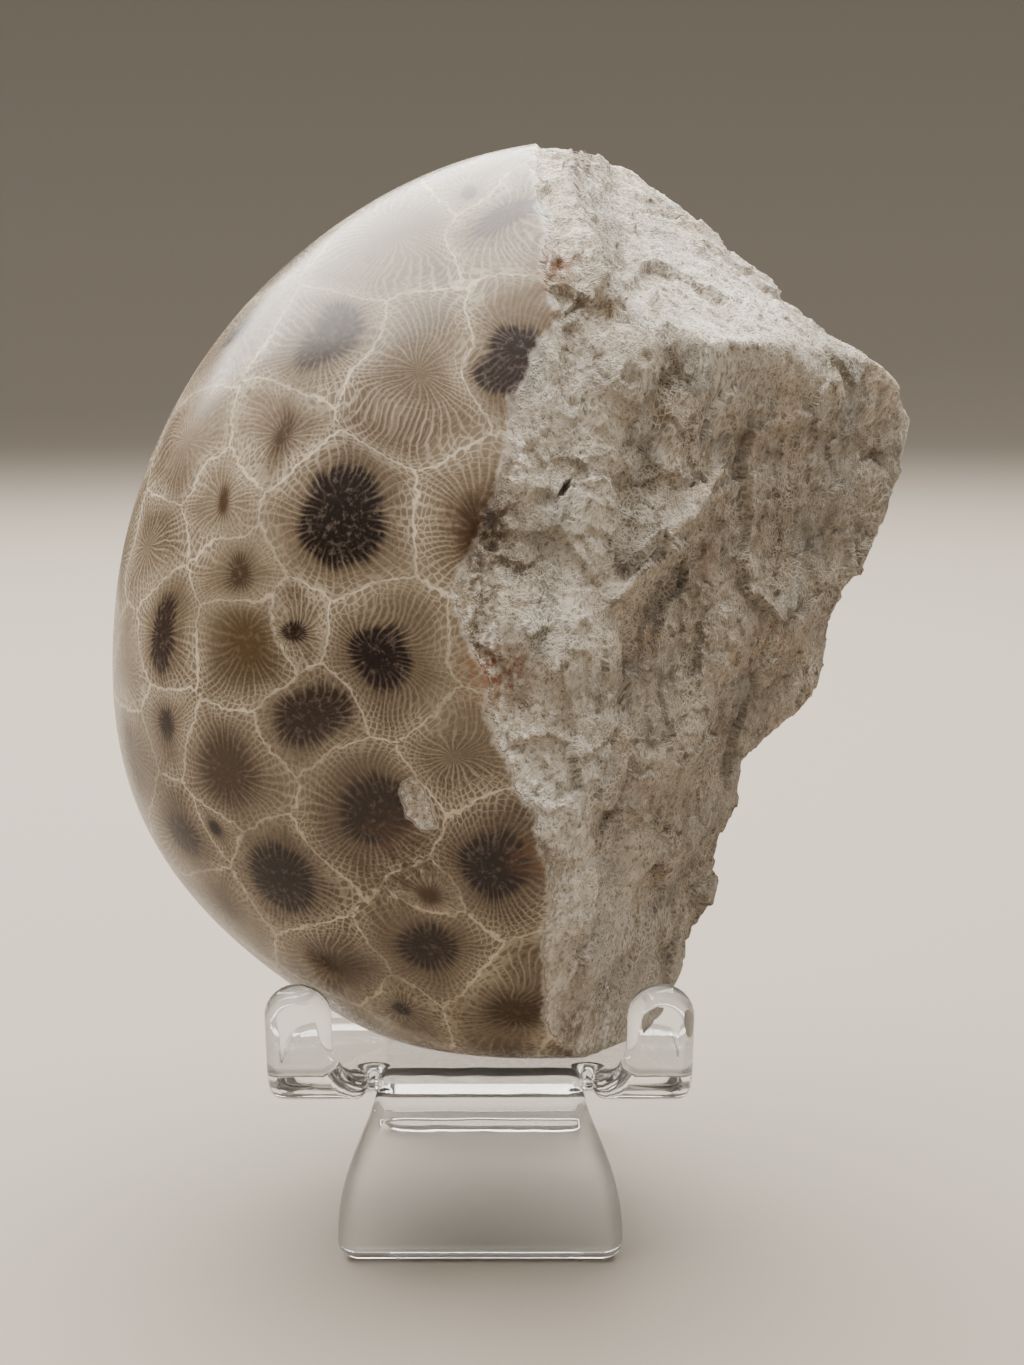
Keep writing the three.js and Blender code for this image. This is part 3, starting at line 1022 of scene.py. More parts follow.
@dataclass(frozen=True)
class FossilLimestone:
    """Calcite limestone with coral: polished on the worn surface, sugary where broken.

    The polish gives soft broad highlights; the break is matt, with painted glints on crystal faces, painted
    light on its ridges and lit parts, and painted shade in its gullies.
    """

    matrix: str = "695b4a"
    matrix_dark: str = "4e4032"
    septum: str = "c8baa3"
    eye: str = "1b120c"
    eye_grey: str = "251c19"
    eye_warm: str = "4c3a22"
    speck: str = "75665c"
    broken_cream: str = "c6b8a5"
    broken_grey: str = "9b9183"
    broken_dark: str = "5a5047"
    crystal: str = "f4ecdf"
    rust: str = "80583c"
    tan: str = "a68d73"
    slate: str = "7f8586"
    stain: str = "35261c"

    def build(self) -> bpy.types.Material:
        """Make the material.

        Returns:
            The material.
        """
        material, graph, shader = new_finish("fossil_limestone")
        at = graph.add("VectorMath.SCALE", graph.add("TexCoord", out="Object"), 1 / MM)
        depth = graph.add("Attribute", out="Fac", attribute_name="broken")
        frayed = graph.add("Math.SUBTRACT", graph.add("TexNoise", at, 0.7, 4.0, 0.65), 0.5)
        edge = graph.add("Math.ADD", depth, graph.add("Math.MULTIPLY", frayed, 2.4))
        broken = graph.add("MapRange.SMOOTHSTEP", edge, 0.05, 0.4)
        rays = self.rays(graph, at)
        polished = self.polished_colour(graph, at, rays)
        rim = graph.add("MapRange.SMOOTHSTEP", edge, -0.6, 0.1, 0.0, 0.3)
        polished = graph.add("Mix.RGBA", rim, polished, linear(self.crystal))
        rough, bumps = self.broken_colour(graph, at, rays, depth)
        # the stain's third amount paints light on the break as crystal white, partly its whiter crystals
        stain = graph.add("Attribute", out="Vector", attribute_name="stain")
        rust, dark, pale = graph.add("SeparateXYZ", stain, out=None)
        uneven = graph.add("MapRange.SMOOTHSTEP", bumps, 0.7, 1.1, 0.15, 0.9)
        pale = graph.add("Math.MULTIPLY", pale, uneven)
        rough = graph.add("Mix.RGBA", pale, rough, linear(self.crystal))
        colour = graph.add("Mix.RGBA", broken, polished, rough)
        blot = patches(graph, at, 0.9, (0.35, 0.62), shift=(3, 9, 1), detail=4.0, rough=0.6)
        colour = graph.add("Mix.RGBA", graph.add("Math.MULTIPLY", rust, blot), colour, linear(self.rust))
        colour = graph.add("Mix.RGBA", graph.add("Math.MULTIPLY", dark, blot), colour, linear(self.stain))
        graph.feed(shader.inputs["Base Color"], colour)

        grain = graph.add("TexNoise", at, 1.4, 3.0)
        sheen = graph.add("MapRange.SMOOTHSTEP", grain, 0.2, 0.8, 0.2, 0.32)
        matt = graph.add("MapRange.SMOOTHSTEP", grain, 0.35, 0.7, 0.7, 0.35)
        graph.feed(shader.inputs["Roughness"], graph.add("Mix.FLOAT", broken, sheen, matt))
        shader.inputs["Specular IOR Level"].default_value = 0.28
        height = graph.add("Math.MULTIPLY", bumps, broken)
        graph.feed(shader.inputs["Normal"], graph.add("Bump", 1.0, 0.3 * MM, None, height))
        return material

    def rays(self, graph: Graph, at: bpy.types.NodeSocket) -> dict[str, bpy.types.NodeSocket]:
        """The corallite pattern's measures: lines from 0 to 1, and distances in mm.

        Args:
            graph: The material's graph.
            at: The place on the stone, in mm.

        Returns:
            The measures by name.
        """
        cup = graph.add("Attribute", out="Vector", attribute_name="corallite")
        x, y, wall = graph.add("SeparateXYZ", cup, out=None)
        middle = graph.add("Attribute", out="Vector", attribute_name="eye")
        ex, ey, dark = graph.add("SeparateXYZ", middle, out=None)
        trait = graph.add("Attribute", out="Vector", attribute_name="trait")
        chance, septa, warmth = graph.add("SeparateXYZ", trait, out=None)

        # septa wander by a few tenths of a millimetre
        sway = graph.add("TexNoise", at, 0.4, 2.0, out="Color")
        sway = graph.add("VectorMath.SCALE", graph.add("VectorMath.SUBTRACT", sway, (0.5, 0.5, 0.5)), 0.9)
        flat = graph.add("VectorMath.ADD", graph.add("CombineXYZ", x, y), sway)
        x, y, _ = graph.add("SeparateXYZ", flat, out=None)
        radius = graph.add("VectorMath.LENGTH", graph.add("CombineXYZ", x, y), out="Value")
        per_turn = graph.add("Math.DIVIDE", septa, 2 * math.pi)
        turns = graph.add("Math.MULTIPLY", graph.add("Math.ARCTAN2", y, x), per_turn)
        off_ray = graph.add("Math.PINGPONG", turns, 0.5)
        gap = graph.add("Math.MULTIPLY", off_ray, graph.add("Math.DIVIDE", radius, per_turn))
        line = graph.add("MapRange.SMOOTHSTEP", gap, 0.03, 0.14, 1.0, 0.0)

        # every second septum stops short of the middle
        even = graph.add("MapRange.LINEAR", graph.add("Math.PINGPONG", turns, 1.0), 0.5, 0.49)
        outer = graph.add("MapRange.SMOOTHSTEP", radius, 2.6, 4.0)
        line = graph.add("Math.MULTIPLY", line, graph.add("Math.MAXIMUM", even, outer))
        tooth = graph.add("MapRange.SMOOTHSTEP", gap, 0.05, 0.2, 1.0, 0.0)
        tooth = graph.add("Math.MULTIPLY", tooth, even)

        # cross plates about half a millimetre apart make a net between the septa
        plates = graph.add("Math.MULTIPLY", radius, 1.9)
        own_net = graph.add("Math.MULTIPLY", chance, 40.0)
        net = graph.add("TexVoronoi.DISTANCE_TO_EDGE", graph.add("CombineXYZ", turns, plates, own_net),
                        1.0, None, None, None, 0.6)
        net = graph.add("MapRange.SMOOTHSTEP", net, 0.03, 0.17, 1.0, 0.0)

        # the shared walls zigzag by a third of a millimetre
        zigzag = graph.add("TexNoise", graph.add("VectorMath.ADD", at, (9, 4, 22)), 1.2, 2.0)
        zigzag = graph.add("Math.MULTIPLY", graph.add("Math.SUBTRACT", zigzag, 0.5), 1.1)
        off_wall = graph.add("Math.ABSOLUTE", graph.add("Math.ADD", wall, zigzag))
        eye_at = graph.add("VectorMath.LENGTH", graph.add("CombineXYZ", ex, ey), out="Value")
        return {"line": line, "net": net, "wall": graph.add("Math.ABSOLUTE", wall), "tooth": tooth,
                "off_wall": off_wall, "eye": eye_at, "dark": dark, "warm": warmth, "chance": chance}

    def polished_colour(self, graph: Graph, at: bpy.types.NodeSocket,
                        rays: dict[str, bpy.types.NodeSocket]) -> bpy.types.NodeSocket:
        """The polished surface: taupe calcite, cream septa and walls, dark middles.

        Args:
            graph: The material's graph.
            at: The place on the stone, in mm.
            rays: The corallite pattern's measures.

        Returns:
            The colour.
        """
        cream = linear(self.septum)
        cloud = patches(graph, at, 0.09, (0.35, 0.7))
        ground = graph.add("Mix.RGBA", cloud, linear(self.matrix), linear(self.matrix_dark))
        fine = patches(graph, at, 2.4, (0.5, 0.75), (0, 0.2), rough=0.6)
        ground = graph.add("Mix.RGBA", fine, ground, linear(self.tan))
        clear = patches(graph, at, 0.13, (0.35, 0.66), (0.4, 1.1), (50, 3, 8))

        near_wall = graph.add("MapRange.SMOOTHSTEP", rays["wall"], 0.3, 2.4, 1.0, 0.0)
        colour = graph.add("Mix.RGBA", graph.add("Math.MULTIPLY", near_wall, 0.1), ground, cream)
        straight = graph.add("Mix.FLOAT", near_wall, 0.28, 0.2)
        straight = graph.add("Math.MULTIPLY", rays["line"], graph.add("Math.MULTIPLY", straight, clear))
        colour = graph.add("Mix.RGBA", straight, colour, cream)
        lace = graph.add("Mix.FLOAT", near_wall, 0.13, 0.42)
        lace = graph.add("Math.MULTIPLY", rays["net"], graph.add("Math.MULTIPLY", lace, clear))
        colour = graph.add("Mix.RGBA", lace, colour, cream)
        border = graph.add("MapRange.SMOOTHSTEP", rays["off_wall"], 0.05, 0.2, 0.8, 0.0)
        colour = graph.add("Mix.RGBA", graph.add("Math.MULTIPLY", border, clear), colour, cream)

        halo = graph.add("MapRange.SMOOTHSTEP", rays["eye"], 2.3, 1.0, 0.0, 0.5)
        halo = graph.add("Math.MULTIPLY", halo, rays["dark"])
        colour = graph.add("Mix.RGBA", halo, colour, linear(self.matrix_dark))
        ragged = graph.add("Math.SUBTRACT", graph.add("TexNoise", at, 0.75, 4.0, 0.6), 0.5)
        edge = graph.add("Math.ADD", rays["eye"], graph.add("Math.MULTIPLY", ragged, 0.45))
        edge = graph.add("Math.ADD", edge, graph.add("Math.MULTIPLY", rays["tooth"], 0.11))
        soft_start = graph.add("Mix.FLOAT", rays["warm"], 0.95, 0.45)
        soft_end = graph.add("Mix.FLOAT", rays["warm"], 1.3, 1.75)
        inside = graph.add("MapRange.SMOOTHSTEP", edge, soft_end, soft_start)
        inside = graph.add("Math.MULTIPLY", inside, rays["dark"])
        greyish = graph.add("MapRange.SMOOTHSTEP", rays["chance"], 0.35, 0.65)
        eye = graph.add("Mix.RGBA", greyish, linear(self.eye), linear(self.eye_grey))
        eye = graph.add("Mix.RGBA", rays["warm"], eye, linear(self.eye_warm))
        flecks = patches(graph, at, 1.7, (0.5, 0.68), (0.0, 0.4), (1, 2, 3), 4.0, 0.7)
        eye = graph.add("Mix.RGBA", flecks, eye, linear(self.speck))
        outer = graph.add("MapRange.SMOOTHSTEP", rays["eye"], 0.4, 1.0, 0.0, 0.3)
        threads = graph.add("Math.MULTIPLY", rays["line"], outer)
        eye = graph.add("Mix.RGBA", threads, eye, linear(self.speck))
        return graph.add("Mix.RGBA", inside, colour, eye)

    def broken_colour(self, graph: Graph, at: bpy.types.NodeSocket,
                      rays: dict[str, bpy.types.NodeSocket], depth: bpy.types.NodeSocket,
                      ) -> tuple[bpy.types.NodeSocket, bpy.types.NodeSocket]:
        """The broken surface: cream near the polish, then grey-brown with nets of septa, painted light on
        the ridges, painted shade in the gullies and painted glints.

        Args:
            graph: The material's graph.
            at: The place on the stone, in mm.
            rays: The corallite pattern's measures.
            depth: How far inside the broken area, in mm.

        Returns:
            The colour, and the height of its fine relief.
        """
        cloud = graph.add("TexNoise", at, 0.12, 4.0, 0.6)
        deep = graph.add("Math.ADD", depth, graph.add("Math.MULTIPLY", cloud, 10.0))
        deep = graph.add("MapRange.SMOOTHSTEP", deep, 6.0, 12.0)
        ground = graph.add("Mix.RGBA", deep, linear(self.broken_cream), linear(self.broken_grey))
        warm = patches(graph, at, 0.14, (0.5, 0.7), (0.0, 0.75), (7, 40, 3))
        ground = graph.add("Mix.RGBA", warm, ground, linear(self.tan))
        cool = patches(graph, at, 0.13, (0.5, 0.68), (0.0, 0.5), (31, 8, 55))
        ground = graph.add("Mix.RGBA", cool, ground, linear(self.slate))
        shade = patches(graph, at, 0.3, (0.5, 0.68), (0.0, 0.6), (70, 1, 13), 4.0, 0.65)
        ground = graph.add("Mix.RGBA", shade, ground, linear(self.broken_dark))

        # painted light and shade: ridges are painted paler and gullies painted darker
        crest = graph.add("Attribute", out="Fac", attribute_name="crest")
        worn = graph.add("MapRange.SMOOTHSTEP", crest, 0.25, 1.0, 0.0, 0.6)
        ground = graph.add("Mix.RGBA", worn, ground, linear(self.broken_cream))
        gully_painted_shade = graph.add("MapRange.SMOOTHSTEP", crest, -0.2, -0.9, 0.0, 0.6)
        ground = graph.add("Mix.RGBA", gully_painted_shade, ground, linear(self.broken_dark))

        # bundles of septa a third of a millimetre apart, in patches that lie different ways
        bend = graph.add("TexNoise", at, 0.22, 3.0, out="Color")
        bend = graph.add("VectorMath.SCALE", graph.add("VectorMath.SUBTRACT", bend, (0.5, 0.5, 0.5)), 6.0)
        strands_at = graph.add("VectorMath.MULTIPLY", graph.add("VectorMath.ADD", at, bend), (2.5, 2.5, 1.6))
        cells = graph.add("TexVoronoi.DISTANCE_TO_EDGE", strands_at, 1.0)
        strands = graph.add("MapRange.SMOOTHSTEP", cells, 0.03, 0.17, 1.0, 0.0)
        pores = graph.add("MapRange.SMOOTHSTEP", cells, 0.15, 0.36, 0.0, 0.75)
        which = patches(graph, at, 0.16, (0.42, 0.58), shift=(90, 4, 6), detail=2.0)
        net = graph.add("Mix.FLOAT", which, strands, rays["net"])
        clear = patches(graph, at, 0.17, (0.35, 0.65), (0.25, 0.75), (5, 60, 9))

        crumbs, sway = graph.add("TexNoise", at, 2.1, 5.0, 0.72, out=None)
        dim = graph.add("MapRange.SMOOTHSTEP", crumbs, 0.5, 0.38, 0.0, 0.6)
        colour = graph.add("Mix.RGBA", dim, ground, linear(self.broken_dark))
        pores = graph.add("Math.MULTIPLY", pores, clear)
        colour = graph.add("Mix.RGBA", pores, colour, linear(self.broken_dark))
        colour = graph.add("Mix.RGBA", graph.add("Math.MULTIPLY", net, clear), colour, linear(self.septum))
        streaks_at = graph.add("VectorMath.MULTIPLY", graph.add("VectorMath.ADD", at, bend), (1.0, 1.0, 0.4))
        sugar = graph.add("TexNoise", streaks_at, 0.3, 4.0, 0.6)
        near = graph.add("MapRange.SMOOTHSTEP", depth, 6.0, 0.5, 0.0, 0.13)
        sugar = graph.add("MapRange.SMOOTHSTEP", graph.add("Math.ADD", sugar, near), 0.6, 0.74)
        bright = graph.add("MapRange.SMOOTHSTEP", crumbs, 0.44, 0.58, 0.1, 0.95)
        sugar = graph.add("Math.MULTIPLY", sugar, bright)
        colour = graph.add("Mix.RGBA", sugar, colour, linear(self.crystal))

        # painted glints: single crystal faces painted near-white as if they caught the light, most of them
        # beside the polish
        crystals = graph.add("TexVoronoi.F1", graph.add("VectorMath.ADD", at, sway), 2.2, out="Color")
        painted_glint = graph.add("MapRange.SMOOTHSTEP", graph.add("SeparateXYZ", crystals), 0.74, 0.8)
        amount = graph.add("MapRange.SMOOTHSTEP", depth, 7.0, 0.5, 0.12, 0.6)
        painted_glint = graph.add("Math.MULTIPLY", painted_glint, amount)
        colour = graph.add("Mix.RGBA", painted_glint, colour, linear(self.crystal))
        height = graph.add("Math.MULTIPLY_ADD", crumbs, 1.6, graph.add("Math.MULTIPLY", net, 0.35))
        return colour, height


# ------------------------------------------------------------------------------- the stand


@dataclass(frozen=True)
class Straight:
    """A flat stretch of the sheet."""

    length: float


@dataclass(frozen=True)
class Bend:
    """A bend of the sheet: degrees to the left of its heading, and its centre line's radius."""

    turn: float
    radius: float

    @property
    def length(self) -> float:
        """The centre line's length."""
        return abs(math.radians(self.turn)) * self.radius


@dataclass(frozen=True)
class BentLine:
    """The sheet's centre line in the (Y, Z) plane, in mm, from the seat's front edge."""

    start: tuple[float, float]
    heading: float
    moves: tuple[Straight | Bend, ...]

    def place(self, along: float, side: float) -> tuple[float, float]:
        """A point `along` the line and `side` mm to its left.

        Args:
            along: Distance from the line's start, in mm.
            side: Distance to its left, in mm.

        Returns:
            The point's Y and Z, in mm.
        """
        y, z = self.start
        angle = math.radians(self.heading)
        left = along
        for i, move in enumerate(self.moves):
            step = left if i == len(self.moves) - 1 else min(left, move.length)
            if isinstance(move, Bend):
                swing = math.copysign(step / move.radius, move.turn)
                chord = 2 * move.radius * math.sin(abs(swing) / 2)
                y += chord * math.cos(angle + swing / 2)
                z += chord * math.sin(angle + swing / 2)
                angle += swing
            else:
                y += step * math.cos(angle)
                z += step * math.sin(angle)
            left -= step
            if left <= 0:
                break
        return y - side * math.sin(angle), z + side * math.cos(angle)

    def along_at_height(self, height: float) -> float:
        """How far along the last straight the centre line reaches a height.

        Args:
            height: Height above the table, in mm.

        Returns:
            The distance from the line's start, in mm.
        """
        before = sum(move.length for move in self.moves[:-1])
        start = self.place(before, 0)[1]
        rise = self.place(before + 1, 0)[1] - start
        return before + (height - start) / rise


@dataclass
class DisplayStand:
    """One acrylic sheet, cut to a flat pattern and bent into an easel. Sizes in mm."""

    middle: float
    front_edge: float
    thickness: float = 3
    width: float = 41
    seat_depth: float = 22
    seat_front_height: float = 18.1
    seat_slope: float = 5
    lip_tip_width: float = 6.4
    lip_bend_width: float = 9.6
    lip_height: float = 28
    lip_lean: float = 12
    leg_top_width: float = 20
    leg_foot_width: float = 27.8
    leg_lean: float = 3
    foot_corner: float = 2
    seat_corner: float = 3
    lip_radius: float = 3.5  # of each bend, at the sheet's middle
    leg_radius: float = 2.5
    rest_radius: float = 3.5
    fold_radius: float = 2.6
    flare_top: float = 13.5  # height at which the front leg starts to flare
    rest_width: float = 20
    rest_foot_width: float = 23
    rest_length: float = 34
    rest_lean: float = 16
    rear_leg_lean: float = 9
    arc_step: float = 0.35
    slot_run: float = 8.5  # distance over which the line between lip and leg moves out
    slot_clearance: float = 0.35  # from that line to the lip's straight part

    def seat_start(self) -> tuple[float, float]:
        """The centre line at the seat's front edge."""
        return 0.0, self.seat_front_height - self.thickness / 2

    def lip_line(self) -> BentLine:
        """From the seat forward and up into a lip.

        Returns:
            The centre line.
        """
        rise = 90 - self.lip_lean - self.seat_slope
        moves = (Bend(-rise, self.lip_radius), Straight(9))
        return BentLine(self.seat_start(), 180 - self.seat_slope, moves)

    def leg_line(self) -> BentLine:
        """From the seat down into the front leg.

        Returns:
            The centre line.
        """
        drop = 90 + self.seat_slope - self.leg_lean
        moves = (Bend(drop, self.leg_radius), Straight(20))
        return BentLine(self.seat_start(), 180 - self.seat_slope, moves)

    def rear_line(self) -> BentLine:
        """From the seat back, up the rest, over the fold and down the rear leg.

        Returns:
            The centre line.
        """
        flat = (self.seat_depth - 8) / math.cos(math.radians(self.seat_slope)) + 6
        return BentLine(self.seat_start(), -self.seat_slope, (
            Straight(flat),
            Bend(90 - self.rest_lean + self.seat_slope, self.rest_radius),
            Straight(self.rest_length),
            Bend(-(180 - self.rest_lean + self.rear_leg_lean), self.fold_radius),
            Straight(60),
        ))

    def leg_edge(self, foot: float) -> list[tuple[float, float]]:
        """The front leg's right edge, from its foot up to the slot.

        Args:
            foot: Distance along the sheet to the foot, in mm.

        Returns:
            Points of the flat pattern.
        """
        wide, narrow = self.leg_foot_width / 2, self.leg_top_width / 2
        corner = self.foot_corner
        flare = self.leg_line().along_at_height(self.flare_top)
        edge = arc((wide - corner, -foot + corner), corner, -90, 0)
        edge += bezier((wide, -foot + corner), (wide, -foot + 9), (narrow + 0.9, -flare - 1),
                       (narrow, -flare + 3.2))
        return edge + [(narrow, 0.0)]

    def lip_edge(self) -> list[tuple[float, float]]:
        """The right lip's edge, from the slot round its tip to the seat's side.

        Returns:
            Points of the flat pattern.
        """
        outer = self.width / 2
        radius = self.lip_tip_width / 2
        tip = self.lip_line().along_at_height(self.lip_height) - radius
        at_bend, at_tip = outer - self.lip_bend_width, outer - self.lip_tip_width
        edge = bezier((at_bend, -0.6), (at_bend, -2.8), (at_tip, -3.0), (at_tip, -8.0))
        return edge + arc((outer - radius, -tip), radius, 180, 360)

    def rear_edge(self, foot: float) -> list[tuple[float, float]]:
        """The seat's right rear corner, the rest's edge and the rear leg's foot.

        Args:
            foot: Distance along the sheet to the foot, in mm.

        Returns:
            Points of the flat pattern.
        """
        outer = self.width / 2
        wide, narrow = self.rest_foot_width / 2, self.rest_width / 2
        corner, inside = self.seat_corner, 1.0
        back = self.seat_depth / math.cos(math.radians(self.seat_slope))
        edge = arc((outer - corner, back - corner), corner, 0, 90)
        edge += arc((narrow + inside, back + inside), inside, 270, 180)
        edge += bezier((narrow, foot - 14), (narrow, foot - 10), (wide, foot - 7),
                       (wide, foot - self.foot_corner))
        return edge + arc((wide - self.foot_corner, foot - self.foot_corner), self.foot_corner, 0, 90)

    def pattern(self) -> list[tuple[float, float]]:
        """The flat sheet's outline.

        Returns:
            Points as X across, and the distance behind the seat's front edge, in mm.
        """
        front_foot = self.leg_line().along_at_height(0)
        rear_foot = self.rear_line().along_at_height(0)
        slot = (self.width / 2 - self.lip_bend_width - self.leg_top_width / 2) / 2
        slot_end = arc((self.leg_top_width / 2 + slot, 0.3), slot, 180, 0)
        right = self.leg_edge(front_foot) + slot_end + self.lip_edge() + self.rear_edge(rear_foot)
        left = [(-x, s) for x, s in reversed(right)]
        return right + left

    def bend(self, x: float, along: float, height: float) -> Vector:
        """Bend one point of the flat sheet into place, in metres in the frame.

        Args:
            x: Distance across, in mm.
            along: Distance behind the seat's front edge, in mm.
            height: Distance above the sheet's middle, in mm.

        Returns:
            The point.
        """
        if along >= 0:
            y, z = self.rear_line().place(along, height)
        elif abs(x) > self.slot_middle(along):
            y, z = self.lip_line().place(-along, -height)
        else:
            y, z = self.leg_line().place(-along, -height)
        return Vector((self.middle + x * MM, self.front_edge + y * MM, z * MM))

    def slot_middle(self, along: float) -> float:
        """Half the width of what belongs to the front leg, at a distance along the sheet.

        Args:
            along: Distance behind the seat's front edge, in mm, negative here.

        Returns:
            The half width, in mm.
        """
        lip = self.lip_line().along_at_height(self.lip_height)
        if -along > lip + 0.1:
            return self.width
        start = (self.width / 2 - self.lip_bend_width + self.leg_top_width / 2) / 2
        end = self.width / 2 - self.lip_tip_width - self.slot_clearance
        return start + (end - start) * min(-along / self.slot_run, 1)

    def build(self) -> bpy.types.Object:
        """Make the bent sheet with its rounded edges and its material.

        Returns:
            The finished stand.
        """
        outline = without_doubles(self.pattern())
        mesh = bmesh.new()
        half = self.thickness / 2
        ring = [mesh.verts.new((x, s, -half)) for x, s in outline]
        bottom = mesh.faces.new(ring)
        raised = bmesh.ops.extrude_face_region(mesh, geom=[bottom])["geom"]
        top = [v for v in raised if isinstance(v, bmesh.types.BMVert)]
        bmesh.ops.translate(mesh, verts=top, vec=(0, 0, self.thickness))
        bmesh.ops.recalc_face_normals(mesh, faces=mesh.faces[:])
        rims = [e for e in mesh.edges if abs(e.verts[0].co.z - e.verts[1].co.z) < 1e-6]
        bmesh.ops.bevel(mesh, geom=rims, offset=half * 0.96, segments=5, profile=0.5,
                        affect="EDGES", clamp_overlap=False)
        for line in self.bend_lines():
            geometry = mesh.verts[:] + mesh.edges[:] + mesh.faces[:]
            bmesh.ops.bisect_plane(mesh, geom=geometry, plane_co=(0, line, 0), plane_no=(0, 1, 0))
        bmesh.ops.triangulate(mesh, faces=[f for f in mesh.faces if len(f.verts) > 4])
        for vertex in mesh.verts:
            vertex.co = self.bend(*vertex.co)
        bmesh.ops.remove_doubles(mesh, verts=mesh.verts[:], dist=1e-6)
        bmesh.ops.recalc_face_normals(mesh, faces=mesh.faces[:])
        data = bpy.data.meshes.new("acrylic_stand")
        mesh.to_mesh(data)
        mesh.free()
        data.shade_smooth()
        stand = bpy.data.objects.new("acrylic_stand", data)
        bpy.context.collection.objects.link(stand)
        data.materials.append(ClearAcrylic().build())
        weighted = stand.modifiers.new("flat_faces", "WEIGHTED_NORMAL")
        weighted.weight = 100
        LOG.info("stand: %d faces", len(data.polygons))
        return stand

    def bend_lines(self) -> list[float]:
        """Where the sheet needs an edge across it to bend smoothly.

        Returns:
            Distances behind the seat's front edge, in mm.
        """
        rear = self.rear_line().moves
        lines = [0.0]
        for reach in (self.lip_line().moves[0].length, self.leg_line().moves[0].length):
            lines += [-s for s in np.arange(self.arc_step, reach + self.arc_step, self.arc_step)]
        first = rear[0].length
        second = first + rear[1].length + rear[2].length
        lines += list(np.linspace(first, first + rear[1].length, 14))
        lines += list(np.linspace(second, second + rear[3].length, 26))
        return sorted(set(round(float(s), 4) for s in lines))


def arc(centre: tuple[float, float], radius: float, start: float, end: float) -> list[tuple[float, float]]:
    """Points on an arc from one angle to another, in degrees.

    Args:
        centre: Its centre.
        radius: Its radius.
        start: The first angle.
        end: The last angle.

    Returns:
        The points, both ends among them.
    """
    steps = max(6, int(abs(end - start) / 12))
    angles = [math.radians(start + (end - start) * i / steps) for i in range(steps + 1)]
    return [(centre[0] + radius * math.cos(a), centre[1] + radius * math.sin(a)) for a in angles]


def bezier(start: tuple[float, float], first: tuple[float, float], second: tuple[float, float],
           end: tuple[float, float], steps: int = 12) -> list[tuple[float, float]]:
    """Points on a cubic curve.

    Args:
        start: Where it starts.
        first: The handle of its start.
        second: The handle of its end.
        end: Where it ends.
        steps: How many pieces it is drawn in.

    Returns:
        The points, both ends among them.
    """
    points = []
    for i in range(steps + 1):
        t = i / steps
        weights = ((1 - t) ** 3, 3 * t * (1 - t) ** 2, 3 * t * t * (1 - t), t ** 3)
        points.append(tuple(sum(w * p[k] for w, p in zip(weights, (start, first, second, end)))
                            for k in (0, 1)))
    return points


def without_doubles(points: list[tuple[float, float]]) -> list[tuple[float, float]]:
    """Drop points that repeat the one before them.

    Args:
        points: The corners of a closed outline.

    Returns:
        The corners that are left.
    """
    kept = [points[0]]
    for point in points[1:]:
        if math.dist(point, kept[-1]) > 0.02:
            kept.append(point)
    return kept if math.dist(kept[0], kept[-1]) > 0.02 else kept[:-1]


@dataclass(frozen=True)
class ClearAcrylic:
    """Clear cast acrylic with flame-polished edges, faintly hazed by handling."""

    tint: str = "fdfefe"

    def build(self) -> bpy.types.Material:
        """Make the material.

        Returns:
            The material.
        """
        material, graph, shader = new_finish("clear_acrylic")
        at = graph.add("VectorMath.SCALE", graph.add("TexCoord", out="Object"), 1 / MM)
        shader.inputs["Base Color"].default_value = linear(self.tint)
        shader.inputs["Transmission Weight"].default_value = 0.95
        shader.inputs["IOR"].default_value = 1.42
        handled = patches(graph, at, 0.35, (0.35, 0.75), (0.01, 0.05))
        graph.feed(shader.inputs["Roughness"], handled)
        ripple = graph.add("TexNoise", at, 0.22, 1.0)
        graph.feed(shader.inputs["Normal"], graph.add("Bump", 0.12, 0.3 * MM, None, ripple))
        return material


# ------------------------------------------------------------------------------- the studio


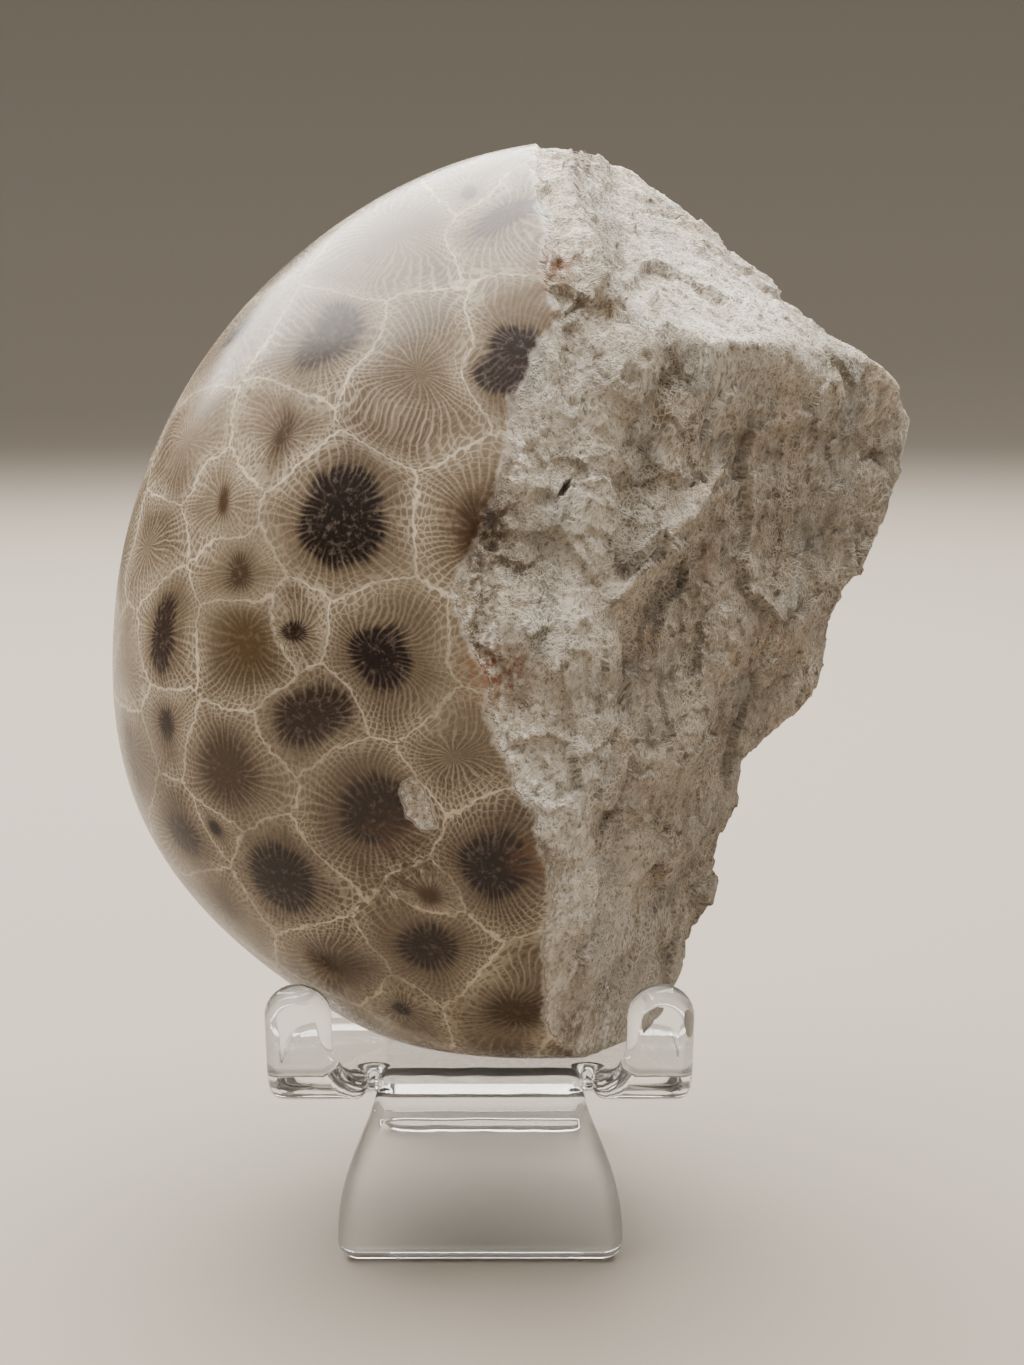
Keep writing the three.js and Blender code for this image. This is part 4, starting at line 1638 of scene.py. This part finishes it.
@dataclass
class Studio:
    """A plain pale floor, soft lights and the camera."""

    stand_middle: float
    stand_front_edge: float
    lens: float = 55
    looking_down: float = 9.3  # degrees
    camera_across: float = 3.1  # from the stand's middle, in mm
    camera_away: float = 195.3  # from the seat's front edge
    camera_height: float = 88.3

    def floor(self) -> None:
        """A wide pale floor that sweeps up far behind."""
        width, back, radius, rise = 4.0, 1.6, 1.2, 3.0
        profile = [(-3.0, 0.0), (back, 0.0)]
        for i in range(1, 25):
            turn = math.radians(90 * i / 24)
            profile.append((back + radius * math.sin(turn), radius * (1 - math.cos(turn))))
        profile.append((back + radius, rise))
        vertices = [(side * width, y, z) for y, z in profile for side in (-1, 1)]
        faces = [(2 * i, 2 * i + 1, 2 * i + 3, 2 * i + 2) for i in range(len(profile) - 1)]
        mesh = bpy.data.meshes.new("floor")
        mesh.from_pydata(vertices, [], faces)
        mesh.shade_smooth()
        floor = bpy.data.objects.new("floor", mesh)
        bpy.context.collection.objects.link(floor)
        material, _, shader = new_finish("matte_paper")
        shader.inputs["Base Color"].default_value = linear("7f776d")
        shader.inputs["Roughness"].default_value = 0.75
        mesh.materials.append(material)

    def light(self, name: str, place: tuple[float, float, float], size: float, power: float) -> None:
        """A square soft box at `place`, aimed at the middle of the stone.

        Args:
            name: Its name.
            place: Where it stands, in metres.
            size: Its side, in metres.
            power: Its power, in watts.
        """
        lamp = bpy.data.lights.new(name, "AREA")
        lamp.size = size
        lamp.energy = power
        lamp.color = (1.0, 0.96, 0.9)
        box = bpy.data.objects.new(name, lamp)
        bpy.context.collection.objects.link(box)
        box.location = place
        aim = Vector((0, 0, 0.06)) - Vector(place)
        box.rotation_euler = aim.to_track_quat("-Z", "Y").to_euler()

    def lights(self) -> None:
        """A pale dome, bright overhead, with one soft box above and a little behind."""
        self.light("overhead", (-0.1, 0.3, 0.75), 1.25, 58.0)
        world = bpy.data.worlds.new("soft_light")
        world.use_nodes = True
        graph = Graph(world.node_tree)
        backdrop = world.node_tree.nodes["Background"]
        backdrop.inputs["Color"].default_value = linear("f5f1e9")
        height = graph.add("SeparateXYZ", graph.add("TexCoord", out="Generated"), out=2)
        strength = graph.add("MapRange.SMOOTHSTEP", height, 0.2, 1.0, 0.12, 1.9)
        graph.feed(backdrop.inputs["Strength"], strength)
        bpy.context.scene.world = world

    def camera(self) -> None:
        """A short telephoto in front of the stone, looking slightly down."""
        data = bpy.data.cameras.new("camera")
        data.lens = self.lens
        data.sensor_width = 36
        data.sensor_fit = "AUTO"
        data.clip_start = 0.01
        camera = bpy.data.objects.new("camera", data)
        bpy.context.collection.objects.link(camera)
        camera.location = (self.stand_middle + self.camera_across * MM,
                           self.stand_front_edge - self.camera_away * MM, self.camera_height * MM)
        camera.rotation_euler = (math.radians(90 - self.looking_down), 0, 0)
        bpy.context.scene.camera = camera


# ------------------------------------------------------------------------------- everything


def main() -> None:
    """Build the stone, the stand and the studio on the loaded frame."""
    logging.basicConfig(level=logging.INFO, format="%(name)s: %(message)s")
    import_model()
    low, high = (Vector(corner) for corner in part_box("display_stand"))
    middle = (low.x + high.x) / 2
    front_edge = low.y + STAND_REACH * MM

    across, behind, up = STONE_PLACE
    centre = Vector((middle + across * MM, front_edge + behind * MM, up * MM))
    stone = CoralHead(centre).build()
    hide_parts("coral_head")
    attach(stone, "root")
    LOG.info("stone placed")

    stand = DisplayStand(middle, front_edge).build()
    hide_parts("display_stand")
    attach(stand, "root")
    LOG.info("stand placed")

    studio = Studio(middle, front_edge)
    studio.floor()
    studio.lights()
    studio.camera()


if __name__ == "__main__":
    main()
